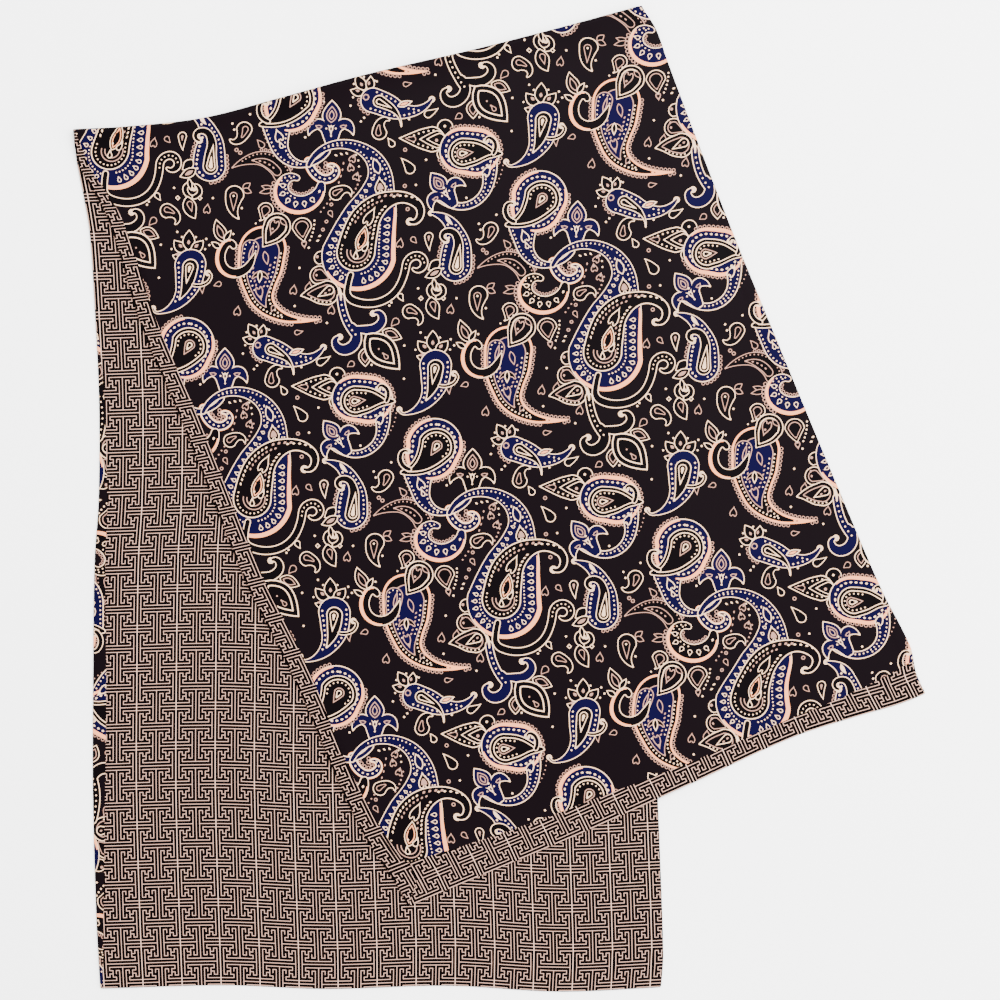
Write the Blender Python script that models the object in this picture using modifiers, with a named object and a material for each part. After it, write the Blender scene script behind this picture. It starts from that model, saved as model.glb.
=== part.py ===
"""Long silk scarf, laid out flat and folded over once on a slant.

Two rectangular silk panels, a paisley one and a fret one, are sewn together all
round and turned. The lower leg lies with the fret panel up, the cloth goes over at
a soft roll, and the upper leg comes down on a slant with the paisley panel up.

Metres, +Z up, +X to the right and +Y towards the roll, seen from above. The origin
is on the surface, under the middle of the laid-out scarf.
"""

import math

import bmesh
import bpy
from mathutils import Matrix, Vector

# Finished size of the scarf
WIDTH = 0.530
LENGTH = 1.610

# Cloth: each panel is a wall, and the two lie a gap apart, wall to wall
WALL = 0.0010
SEAM_GAP = 0.0003
HALF_LAYER = (WALL + SEAM_GAP) / 2
HALF_STACK = HALF_LAYER + WALL / 2
RIM_BULGE = 0.0011

# Roll at the fold, and the way down from it to the lower leg
ROLL_RADIUS = 0.0030
SETTLE_LENGTH = 0.036
LEG_CLEARANCE = 0.0003
LEG_RISE = 2 * HALF_STACK + LEG_CLEARANCE

# Corners of the laid-out scarf, before it is centred on the origin
LOWER_LEFT = Vector((0.0000, 0.0000))
LOWER_RIGHT = Vector((0.5310, 0.0000))
FOLD_LEFT = Vector((-0.0190, 0.8070))
FOLD_RIGHT = Vector((0.5130, 0.9230))
UPPER_LEFT = Vector((0.2870, 0.0780))
UPPER_RIGHT = Vector((0.7820, 0.2776))

# Beyond the lower leg's right edge the upper leg comes down to the surface
DROP_START = 0.030
DROP_LENGTH = 0.045

# How far each long edge swings to the right of its straight line
LOWER_LEFT_SWING = (
    # distance from the lower hem, shift
    (0.000, 0.0067),
    (0.060, 0.0047),
    (0.180, 0.0040),
    (0.280, 0.0065),
    (0.400, 0.0108),
    (0.460, 0.0160),
    (0.550, 0.0185),
    (0.640, 0.0165),
    (0.710, 0.0135),
    (0.745, 0.0085),
    (0.780, 0.0025),
    (0.810, 0.0010),
)
LOWER_RIGHT_SWING = (
    # distance from the lower hem, shift
    (0.000, 0.0010),
    (0.030, 0.0035),
    (0.140, 0.0020),
    (0.200, 0.0010),
    (0.450, 0.0060),
    (0.700, 0.0100),
    (0.830, 0.0090),
    (0.900, 0.0020),
    (0.930, 0.0000),
)
UPPER_LEFT_SWING = (
    # distance from the fold, shift
    (0.000, 0.0000),
    (0.014, -0.0048),
    (0.034, -0.0080),
    (0.056, -0.0050),
    (0.082, -0.0018),
    (0.120, -0.0044),
    (0.200, -0.0128),
    (0.290, -0.0124),
    (0.360, -0.0138),
    (0.465, -0.0156),
    (0.530, -0.0105),
    (0.590, -0.0078),
    (0.690, -0.0070),
    (0.765, 0.0000),
)
UPPER_RIGHT_SWING = (
    # distance from the fold, shift
    (0.000, 0.0000),
    (0.020, 0.0045),
    (0.050, 0.0030),
    (0.100, 0.0010),
    (0.160, -0.0010),
    (0.250, -0.0030),
    (0.500, -0.0035),
    (0.580, -0.0025),
    (0.635, 0.0020),
    (0.665, -0.0030),
    (0.700, 0.0000),
)

# The upper leg's left corner is drawn in, over a reach before its hem
CORNER_PULL_REACH = 0.070
CORNER_PULL = 0.0085

# Sag of the fold line, by fraction of the width from the left
FOLD_SAG = (
    # fraction, sag
    (0.00, 0.0000),
    (0.09, 0.0080),
    (0.22, 0.0150),
    (0.36, 0.0120),
    (0.50, 0.0082),
    (0.70, 0.0066),
    (0.86, 0.0036),
    (1.00, 0.0000),
)

# Waves of the two end hems: how far the hem reaches out, by fraction of the width
LOWER_HEM_WAVE = (
    # fraction, reach
    (0.00, 0.0000),
    (0.22, -0.0030),
    (0.40, 0.0005),
    (0.62, -0.0025),
    (0.82, 0.0030),
    (1.00, -0.0010),
)
UPPER_HEM_WAVE = (
    # fraction, reach
    (0.00, 0.0000),
    (0.30, 0.0000),
    (0.56, -0.0040),
    (0.76, -0.0080),
    (0.87, -0.0040),
    (0.95, 0.0005),
    (1.00, 0.0008),
)

# Rolled seams, where one panel comes round the edge onto the other's side.
# Left edge: the paisley panel on the lower leg, the fret panel on the upper leg
PAISLEY_ROLL = (
    # distance from the lower end, width
    (0.000, 0.0020),
    (0.120, 0.0080),
    (0.230, 0.0112),
    (0.380, 0.0095),
    (0.540, 0.0040),
    (0.640, 0.0015),
)
FRET_ROLL = (
    # distance from the fold, width
    (0.000, 0.0060),
    (0.120, 0.0120),
    (0.360, 0.0150),
    (0.560, 0.0150),
    (0.640, 0.0125),
    (0.780, 0.0190),
)
# Upper hem: the fret panel
FRET_END_ROLL = (
    # fraction of the width, width
    (0.00, 0.0380),
    (0.15, 0.0310),
    (0.38, 0.0235),
    (0.60, 0.0170),
    (0.84, 0.0180),
    (1.00, 0.0320),
)
# Lower hem and right edge: a narrow turn, out of sight underneath
NARROW_TURN = 0.0025

# Mesh steps: rows along the scarf and columns across it
LOWER_ROWS = 13
BEND_ROWS = 8
SETTLE_ROWS = 4
UPPER_ROWS = 14
COLUMNS = 16
ROWS_TO_BEND = 1 + LOWER_ROWS
ROWS_TO_LEFT_CROSSING = ROWS_TO_BEND + BEND_ROWS + SETTLE_ROWS // 2
ROWS = ROWS_TO_BEND + BEND_ROWS + SETTLE_ROWS + UPPER_ROWS + 1

# Section of an edge, from the paisley side round to the fret side
RIM_SECTION = (
    # height over the half layer, reach over the bulge
    (1.0, 0.0),
    (1.0, 0.6),
    (0.6, 1.0),
    (-0.6, 1.0),
    (-1.0, 0.6),
    (-1.0, 0.0),
)
RIM_STEPS = len(RIM_SECTION) - 1

PAISLEY_COLOUR = (0.020, 0.014, 0.018, 1.0)
FRET_COLOUR = (0.110, 0.072, 0.066, 1.0)
SILK_ROUGHNESS = 0.42


def along(table, x):
    """Smooth value of a two-column table at x, level beyond its ends."""
    if x <= table[0][0]:
        return table[0][1]
    if x >= table[-1][0]:
        return table[-1][1]
    last = len(table) - 1
    k = next(i for i in range(last) if x <= table[i + 1][0])
    x0, y0 = table[k]
    x1, y1 = table[k + 1]
    before = table[max(k - 1, 0)]
    after = table[min(k + 2, last)]
    span = x1 - x0
    slope0 = (y1 - before[1]) / (x1 - before[0]) * span
    slope1 = (after[1] - y0) / (after[0] - x0) * span
    u = (x - x0) / span
    blend = u * u * (3 - 2 * u)
    return y0 + (y1 - y0) * blend + slope0 * u * (1 - u) ** 2 - slope1 * u * u * (1 - u)


def smooth(u):
    """Ease from 0 to 1."""
    u = min(max(u, 0.0), 1.0)
    return u * u * (3 - 2 * u)


class Scarf:
    """The middle surface between the two panels, from the cut to the laid place."""

    def __init__(self):
        self.tilt = (2 * ROLL_RADIUS - LEG_RISE) / (SETTLE_LENGTH / 2)
        self.bend_length = ROLL_RADIUS * (math.pi + self.tilt)
        self.reach = ROLL_RADIUS + HALF_STACK
        self.fold_direction = (FOLD_RIGHT - FOLD_LEFT).normalized()
        self.fold_normal = Vector((-self.fold_direction.y, self.fold_direction.x))

    def lower_end(self, f):
        """Point of the lower hem at fraction f of the width."""
        return LOWER_LEFT.lerp(LOWER_RIGHT, f) - Vector((0, along(LOWER_HEM_WAVE, f)))

    def fold_point(self, f):
        """Point of the fold's outer line at fraction f of the width."""
        return FOLD_LEFT.lerp(FOLD_RIGHT, f) - self.fold_normal * along(FOLD_SAG, f)

    def upper_end(self, f):
        """Point of the upper hem at fraction f of the width."""
        end = UPPER_LEFT.lerp(UPPER_RIGHT, f)
        out = end - self.fold_point(f)
        return end + out.normalized() * along(UPPER_HEM_WAVE, f)

    def bend_start(self, f):
        """Length of the lower leg, from its hem to where the roll starts."""
        return (self.fold_point(f) - self.lower_end(f)).length - self.reach

    def swing(self, f, distance):
        """Sideways swing of the lower leg at a distance from its hem."""
        left = along(LOWER_LEFT_SWING, distance)
        right = along(LOWER_RIGHT_SWING, distance)
        return left + (right - left) * f

    def upper_swing(self, f, distance):
        """Sideways swing of the upper leg at a distance from the fold."""
        left = along(UPPER_LEFT_SWING, distance)
        right = along(UPPER_RIGHT_SWING, distance)
        return left + (right - left) * f

    def right_edge(self, y):
        """Where the lower leg's right edge is, at height y."""
        u = y / FOLD_RIGHT.y
        return LOWER_RIGHT.x + (FOLD_RIGHT.x - LOWER_RIGHT.x) * u + self.swing(1.0, y)

    def middle(self, s, f):
        """Place of the middle surface at length s and fraction f of the width."""
        start = self.bend_start(f)
        fold = self.fold_point(f)
        down = (self.lower_end(f) - fold).normalized()
        over = (self.upper_end(f) - fold).normalized()
        past = s - start
        if past <= 0:
            flat = fold + down * (self.reach - past)
            flat.x += self.swing(f, s)
            return Vector((flat.x, flat.y, HALF_STACK))
        if past <= self.bend_length:
            turn = past / ROLL_RADIUS
            inward = self.reach - ROLL_RADIUS * math.sin(turn)
            lift = ROLL_RADIUS * (1 - math.cos(turn))
            share = smooth(turn / math.pi)
            flat = fold + down.lerp(over, share).normalized() * inward
            flat.x += self.swing(f, start) * (1 - share)
            return Vector((flat.x, flat.y, HALF_STACK + lift))
        past -= self.bend_length
        rest = LENGTH - start - self.bend_length
        begin = self.reach + ROLL_RADIUS * math.sin(self.tilt)
        end = (self.upper_end(f) - fold).length
        flat = fold + over * (begin + (end - begin) * past / rest)
        pull = smooth(1 - (rest - past) / CORNER_PULL_REACH) * CORNER_PULL
        flat.x += pull * (1 - f) ** 4 + self.upper_swing(f, past)
        u = min(past / SETTLE_LENGTH, 1.0)
        top = ROLL_RADIUS * (1 + math.cos(self.tilt))
        lift = top - self.tilt * SETTLE_LENGTH * (u - u ** 3 + u ** 4 / 2)
        beyond = flat.x - self.right_edge(flat.y) - DROP_START
        lift *= 1 - smooth(beyond / DROP_LENGTH)
        return Vector((flat.x, flat.y, HALF_STACK + lift))

    def frame(self, s, f):
        """Place, normal to the paisley side, and directions along and across."""
        step = 0.0002
        s0, s1 = max(s - step, 0.0), min(s + step, LENGTH)
        f0, f1 = max(f - step, 0.0), min(f + step, 1.0)
        lengthwise = (self.middle(s1, f) - self.middle(s0, f)).normalized()
        across = (self.middle(s, f1) - self.middle(s, f0)).normalized()
        normal = lengthwise.cross(across).normalized()
        across = normal.cross(lengthwise)
        return self.middle(s, f), normal, lengthwise, across


def steps(first, last, count):
    """Evenly spaced values from first up to, and without, last."""
    return [first + (last - first) * i / count for i in range(count)]


def row_lengths(scarf, f):
    """Lengths of the mesh rows at fraction f, parallel to the roll where it bends."""
    start = scarf.bend_start(f)
    bend_end = start + scarf.bend_length
    settle_end = bend_end + SETTLE_LENGTH
    last = LENGTH - along(FRET_END_ROLL, f)
    rows = [0.0]
    rows += steps(NARROW_TURN, start, LOWER_ROWS)
    rows += steps(start, bend_end, BEND_ROWS)
    rows += steps(bend_end, settle_end, SETTLE_ROWS)
    rows += steps(settle_end, last, UPPER_ROWS)
    return rows + [last, LENGTH]


def column_fractions(roll):
    """Column places across the width, with one at each seam beside an edge."""
    return [0.0] + steps(roll / WIDTH, 1 - NARROW_TURN / WIDTH, COLUMNS) + [
        1 - NARROW_TURN / WIDTH,
        1.0,
    ]


def grid(scarf):
    """Length and fraction of each mesh point, row by row."""
    bend_end = scarf.bend_start(0.0) + scarf.bend_length
    points = []
    for i in range(ROWS + 1):
        s = row_lengths(scarf, 0.0)[i]
        roll = along(PAISLEY_ROLL, s)
        if i >= ROWS_TO_LEFT_CROSSING:
            roll = along(FRET_ROLL, s - bend_end)
        fractions = column_fractions(roll)
        points.append([(row_lengths(scarf, f)[i], f) for f in fractions])
    return points


def build_bag(scarf):
    """Both panels as one closed surface, with the panel of each face marked."""
    points = grid(scarf)
    last_row = ROWS
    last_column = len(points[0]) - 1
    bag = bmesh.new()
    panel = bag.faces.layers.int.new("panel")

    def side(sign):
        rows = []
        for row in points:
            made = []
            for s, f in row:
                place, normal, _, _ = scarf.frame(s, f)
                made.append(bag.verts.new(place + normal * sign * HALF_LAYER))
            rows.append(made)
        return rows

    paisley_side = side(1)
    fret_side = side(-1)

    def rim(i, j, out_along, out_across):
        s, f = points[i][j]
        place, normal, lengthwise, across = scarf.frame(s, f)
        out = (lengthwise * out_along + across * out_across).normalized()
        ring = [paisley_side[i][j]]
        for height, reach in RIM_SECTION[1:-1]:
            offset = normal * (HALF_LAYER * height) + out * (RIM_BULGE * reach)
            ring.append(bag.verts.new(place + offset))
        return ring + [fret_side[i][j]]

    def side_rim(j, out_across):
        rings = [rim(0, j, -1, out_across)]
        rings += [rim(i, j, 0, out_across) for i in range(1, last_row)]
        return rings + [rim(last_row, j, 1, out_across)]

    left = side_rim(0, -1)
    right = side_rim(last_column, 1)
    inner = range(1, last_column)
    lower_hem = [left[0]] + [rim(0, j, -1, 0) for j in inner] + [right[0]]
    upper_hem = [left[-1]] + [rim(last_row, j, 1, 0) for j in inner] + [right[-1]]

    def band(first, second, k, is_fret):
        corners = (first[k], first[k + 1], second[k + 1], second[k])
        for a, b, c in ((0, 1, 2), (0, 2, 3)):
            made = bag.faces.new((corners[a], corners[b], corners[c]))
            made[panel] = 1 if is_fret else 0

    for i in range(last_row):
        in_upper_hem = i == last_row - 1
        left_is_fret = i >= ROWS_TO_LEFT_CROSSING
        right_is_fret = i < ROWS_TO_BEND or in_upper_hem
        for j in range(last_column):
            at_left, at_right = j == 0, j == last_column - 1
            turned = (i == 0 and not at_left) or in_upper_hem or (at_left and left_is_fret)
            turned = turned or (at_right and right_is_fret)
            band(paisley_side[i], paisley_side[i + 1], j, turned)
            turned = (at_left and not left_is_fret) or (at_right and not right_is_fret)
            band(fret_side[i], fret_side[i + 1], j, not turned)
        for k in range(RIM_STEPS):
            band(left[i], left[i + 1], k, left_is_fret)
            band(right[i], right[i + 1], k, right_is_fret)
    for j in range(last_column):
        for k in range(RIM_STEPS):
            band(lower_hem[j], lower_hem[j + 1], k, j > 0)
            band(upper_hem[j], upper_hem[j + 1], k, True)
    bmesh.ops.recalc_face_normals(bag, faces=bag.faces)
    return bag


def pull_back_seam(mesh):
    """Draw a panel's open edge back by half the gap at the seam."""
    moves = {}
    for vertex in mesh.verts:
        edges = [edge for edge in vertex.link_edges if edge.is_boundary]
        if not edges:
            continue
        inward = []
        for edge in edges:
            face = edge.link_faces[0]
            direction = (edge.verts[1].co - edge.verts[0].co).normalized()
            across = face.normal.cross(direction).normalized()
            middle = (edge.verts[0].co + edge.verts[1].co) / 2
            if across.dot(face.calc_center_median() - middle) < 0:
                across.negate()
            inward.append(across)
        total = sum(inward, Vector()).normalized()
        spread = max(total.dot(inward[0]), 0.5)
        moves[vertex] = total * (SEAM_GAP / 2 / spread)
    for vertex, move in moves.items():
        vertex.co += move


def silk(name, colour):
    """Plain silk material."""
    material = bpy.data.materials.new(name)
    material.use_nodes = True
    shader = material.node_tree.nodes["Principled BSDF"]
    shader.inputs["Base Color"].default_value = colour
    shader.inputs["Roughness"].default_value = SILK_ROUGHNESS
    shader.inputs["Metallic"].default_value = 0.0
    return material


def build_panel(bag, marker, name, material, collection):
    """One panel of the bag as a wall of cloth."""
    mesh = bag.copy()
    panel = mesh.faces.layers.int["panel"]
    others = [face for face in mesh.faces if face[panel] != marker]
    bmesh.ops.delete(mesh, geom=others, context="FACES")
    mesh.normal_update()
    pull_back_seam(mesh)
    data = bpy.data.meshes.new(name)
    mesh.to_mesh(data)
    mesh.free()
    data.shade_smooth()
    data.materials.append(material)
    cloth = bpy.data.objects.new(name, data)
    collection.objects.link(cloth)
    wall = cloth.modifiers.new("wall", "SOLIDIFY")
    wall.thickness = WALL
    wall.offset = 0.0
    wall.use_even_offset = True
    return cloth


def centre_on_surface(cloths):
    """Bring the middle of the laid-out scarf over the origin."""
    bpy.context.view_layer.update()
    depsgraph = bpy.context.evaluated_depsgraph_get()
    corners = []
    for cloth in cloths:
        body = cloth.evaluated_get(depsgraph)
        corners += [vertex.co.copy() for vertex in body.to_mesh().vertices]
        body.to_mesh_clear()
    low = Vector(min(corner[axis] for corner in corners) for axis in range(3))
    high = Vector(max(corner[axis] for corner in corners) for axis in range(3))
    middle = (low + high) / 2
    shift = Matrix.Translation((-middle.x, -middle.y, -low.z))
    for cloth in cloths:
        cloth.data.transform(shift)


def main():
    for old in list(bpy.data.objects):
        bpy.data.objects.remove(old)
    collection = bpy.data.collections.new("silk_scarf")
    bpy.context.scene.collection.children.link(collection)
    bag = build_bag(Scarf())
    paisley = build_panel(bag, 0, "paisley_panel", silk("paisley_silk", PAISLEY_COLOUR), collection)
    fret = build_panel(bag, 1, "fret_panel", silk("fret_silk", FRET_COLOUR), collection)
    bag.free()
    centre_on_surface([paisley, fret])


main()
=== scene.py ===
"""Long silk scarf, laid out flat and folded over once on a slant: its looks.

Two printed silk panels, a paisley one and a fret one, are sewn back to back. Each
panel is made in two stretches that meet inside the roll at the fold. The prints are
cut into the cloth's own mesh: every printed line is a strip of faces with its own
ink, worked out flat and then laid over the scarf's surface.
"""

import cmath
import math

import bpy
import numpy as np
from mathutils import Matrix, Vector
from mathutils.geometry import delaunay_2d_cdt


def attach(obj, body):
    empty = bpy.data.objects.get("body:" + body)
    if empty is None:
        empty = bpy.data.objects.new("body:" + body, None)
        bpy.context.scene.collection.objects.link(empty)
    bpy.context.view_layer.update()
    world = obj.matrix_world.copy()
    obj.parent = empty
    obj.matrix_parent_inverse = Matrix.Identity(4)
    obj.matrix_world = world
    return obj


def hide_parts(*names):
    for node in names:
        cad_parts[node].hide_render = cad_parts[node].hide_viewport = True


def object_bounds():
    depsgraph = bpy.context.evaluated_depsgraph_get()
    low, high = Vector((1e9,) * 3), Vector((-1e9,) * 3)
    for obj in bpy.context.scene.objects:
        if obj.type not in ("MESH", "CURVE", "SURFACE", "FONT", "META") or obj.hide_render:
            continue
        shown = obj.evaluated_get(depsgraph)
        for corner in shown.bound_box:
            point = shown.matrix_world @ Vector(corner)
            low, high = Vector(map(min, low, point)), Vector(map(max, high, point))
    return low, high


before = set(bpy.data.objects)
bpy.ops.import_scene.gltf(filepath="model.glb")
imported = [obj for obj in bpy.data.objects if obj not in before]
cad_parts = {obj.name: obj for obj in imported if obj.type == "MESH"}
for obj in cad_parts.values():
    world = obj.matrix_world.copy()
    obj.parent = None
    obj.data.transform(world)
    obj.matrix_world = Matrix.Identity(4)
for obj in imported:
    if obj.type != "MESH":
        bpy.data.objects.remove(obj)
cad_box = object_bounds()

MM = 0.001

# Cut of the scarf, finished
WIDTH = 0.530
LENGTH = 1.610

# Cloth: distance of each face of the scarf from its middle surface, and its waves
HALF_LAYER = 0.00070
SEAM_RIDGE = 0.00014
SEAM_RIDGE_WIDTH = 0.009
SEAM_GROOVE = 0.00012
SEAM_GROOVE_WIDTH = 0.0007
SEAM_RIDGE_SLOPES = (0.002, 0.003)
WAVE_HEIGHT = 0.0011
WAVE_START = 0.030
RIM_BULGE = 0.0012
RIM_LENGTH = math.pi * HALF_LAYER
FLOOR_CLEARANCE = 0.00004

# Roll at the fold, and the way down from it to the lower leg
ROLL_RADIUS = 0.0030
SETTLE_LENGTH = 0.036
LEG_RISE = 0.0024
EDGE_REACH = 0.00115

# Corners of the laid-out scarf, measured from the lower leg's left corner
LOWER_LEFT = 0.0000 + 0.0000j
LOWER_RIGHT = 0.5310 + 0.0000j
FOLD_LEFT = -0.0190 + 0.8070j
FOLD_RIGHT = 0.5130 + 0.9230j
UPPER_LEFT = 0.2870 + 0.0780j
UPPER_RIGHT = 0.7820 + 0.2776j

# Beyond the lower leg's right edge the upper leg comes down to the surface
DROP_START = 0.004
DROP_LENGTH = 0.090

# How far each long edge swings to the right of its straight line
LOWER_LEFT_SWING = (
    # distance from the lower hem, shift
    (0.000, 0.0067),
    (0.060, 0.0047),
    (0.180, 0.0040),
    (0.280, 0.0065),
    (0.400, 0.0108),
    (0.460, 0.0160),
    (0.550, 0.0185),
    (0.640, 0.0165),
    (0.710, 0.0135),
    (0.745, 0.0085),
    (0.780, 0.0025),
    (0.810, 0.0010),
)
LOWER_RIGHT_SWING = (
    # distance from the lower hem, shift
    (0.000, 0.0010),
    (0.030, 0.0035),
    (0.140, 0.0020),
    (0.200, 0.0010),
    (0.450, 0.0060),
    (0.700, 0.0100),
    (0.830, 0.0090),
    (0.900, 0.0020),
    (0.930, 0.0000),
)
UPPER_LEFT_SWING = (
    # distance from the fold, shift
    (0.000, 0.0000),
    (0.014, -0.0048),
    (0.034, -0.0080),
    (0.056, -0.0050),
    (0.082, -0.0018),
    (0.120, -0.0044),
    (0.200, -0.0128),
    (0.290, -0.0124),
    (0.360, -0.0138),
    (0.465, -0.0156),
    (0.530, -0.0105),
    (0.590, -0.0078),
    (0.690, -0.0070),
    (0.765, 0.0000),
)
UPPER_RIGHT_SWING = (
    # distance from the fold, shift
    (0.000, 0.0000),
    (0.020, 0.0045),
    (0.050, 0.0030),
    (0.100, 0.0010),
    (0.160, -0.0010),
    (0.250, -0.0030),
    (0.500, -0.0035),
    (0.580, -0.0025),
    (0.635, 0.0020),
    (0.665, -0.0030),
    (0.700, 0.0000),
)

# The upper leg's left corner is drawn in, over a reach before its hem
CORNER_PULL_REACH = 0.070
CORNER_PULL = 0.0085

# Sag of the fold line, by fraction of the width from the left
FOLD_SAG = (
    # fraction, sag
    (0.00, 0.0000),
    (0.09, 0.0080),
    (0.22, 0.0150),
    (0.36, 0.0120),
    (0.50, 0.0082),
    (0.70, 0.0066),
    (0.86, 0.0036),
    (1.00, 0.0000),
)

# Waves of the two end hems: how far the hem reaches out, by fraction of the width
LOWER_HEM_WAVE = (
    # fraction, reach
    (0.00, 0.0000),
    (0.22, -0.0030),
    (0.40, 0.0005),
    (0.62, -0.0025),
    (0.82, 0.0030),
    (1.00, -0.0010),
)
UPPER_HEM_WAVE = (
    # fraction, reach
    (0.00, 0.0000),
    (0.30, 0.0000),
    (0.56, -0.0040),
    (0.76, -0.0080),
    (0.87, -0.0040),
    (0.95, 0.0005),
    (1.00, 0.0008),
)

# Rolled seams, where one panel comes round the edge onto the other's side.
# Left edge: the paisley panel on the lower leg, the fret panel on the upper leg
PAISLEY_ROLL = (
    # distance from the lower end, width
    (0.000, 0.0010),
    (0.030, 0.0035),
    (0.120, 0.0080),
    (0.230, 0.0112),
    (0.380, 0.0095),
    (0.540, 0.0040),
    (0.640, 0.0010),
)
PAISLEY_ROLL_END = 0.600
FRET_ROLL = (
    # distance from the fold, width
    (0.000, 0.0010),
    (0.020, 0.0060),
    (0.120, 0.0120),
    (0.360, 0.0150),
    (0.560, 0.0150),
    (0.640, 0.0125),
    (0.780, 0.0190),
)
# Upper hem: the fret panel
FRET_END_ROLL = (
    # fraction of the width, width
    (0.00, 0.0380),
    (0.15, 0.0310),
    (0.38, 0.0235),
    (0.60, 0.0170),
    (0.84, 0.0180),
    (1.00, 0.0320),
)
# Lower hem and right edge: a narrow turn, out of sight underneath
NARROW_TURN = 0.0025
# Where nothing is rolled, the left seam lies this far inside the edge
SEAM_INSIDE = 0.0010
PAISLEY_ROLL_FADE = 0.040
# The seam changes sides in the fold: where that starts before the roll's end on the
# left and before its start on the right, and over what length
LEFT_CHANGE = (0.010, 0.022)
RIGHT_CHANGE = (0.004, 0.012)

# How far past the cut the prints run on, for the parts that go round an edge
PRINT_PAST_SIDES = 0.030
PRINT_PAST_LOW = 0.020
PRINT_PAST_TOP = 0.050


def unit(vectors):
    """Complex vectors brought to length one."""
    return vectors / np.maximum(np.abs(vectors), 1e-12)


def smooth(u):
    """Ease from 0 to 1."""
    u = np.clip(u, 0.0, 1.0)
    return u * u * (3 - 2 * u)


class Table:
    """Smooth function through the rows of a two-column table, level beyond its ends."""

    def __init__(self, rows, steps=600):
        self.x = np.linspace(rows[0][0], rows[-1][0], steps)
        self.y = np.array([self.value(rows, x) for x in self.x])

    @staticmethod
    def value(rows, x):
        last = len(rows) - 1
        k = next((i for i in range(last) if x <= rows[i + 1][0]), last - 1)
        x0, y0 = rows[k]
        x1, y1 = rows[k + 1]
        before = rows[max(k - 1, 0)]
        after = rows[min(k + 2, last)]
        span = x1 - x0
        slope0 = (y1 - before[1]) / (x1 - before[0]) * span
        slope1 = (after[1] - y0) / (after[0] - x0) * span
        u = (x - x0) / span
        blend = u * u * (3 - 2 * u)
        rise = slope0 * u * (1 - u) ** 2 - slope1 * u * u * (1 - u)
        return y0 + (y1 - y0) * blend + rise

    def __call__(self, x):
        return np.interp(x, self.x, self.y)


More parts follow.
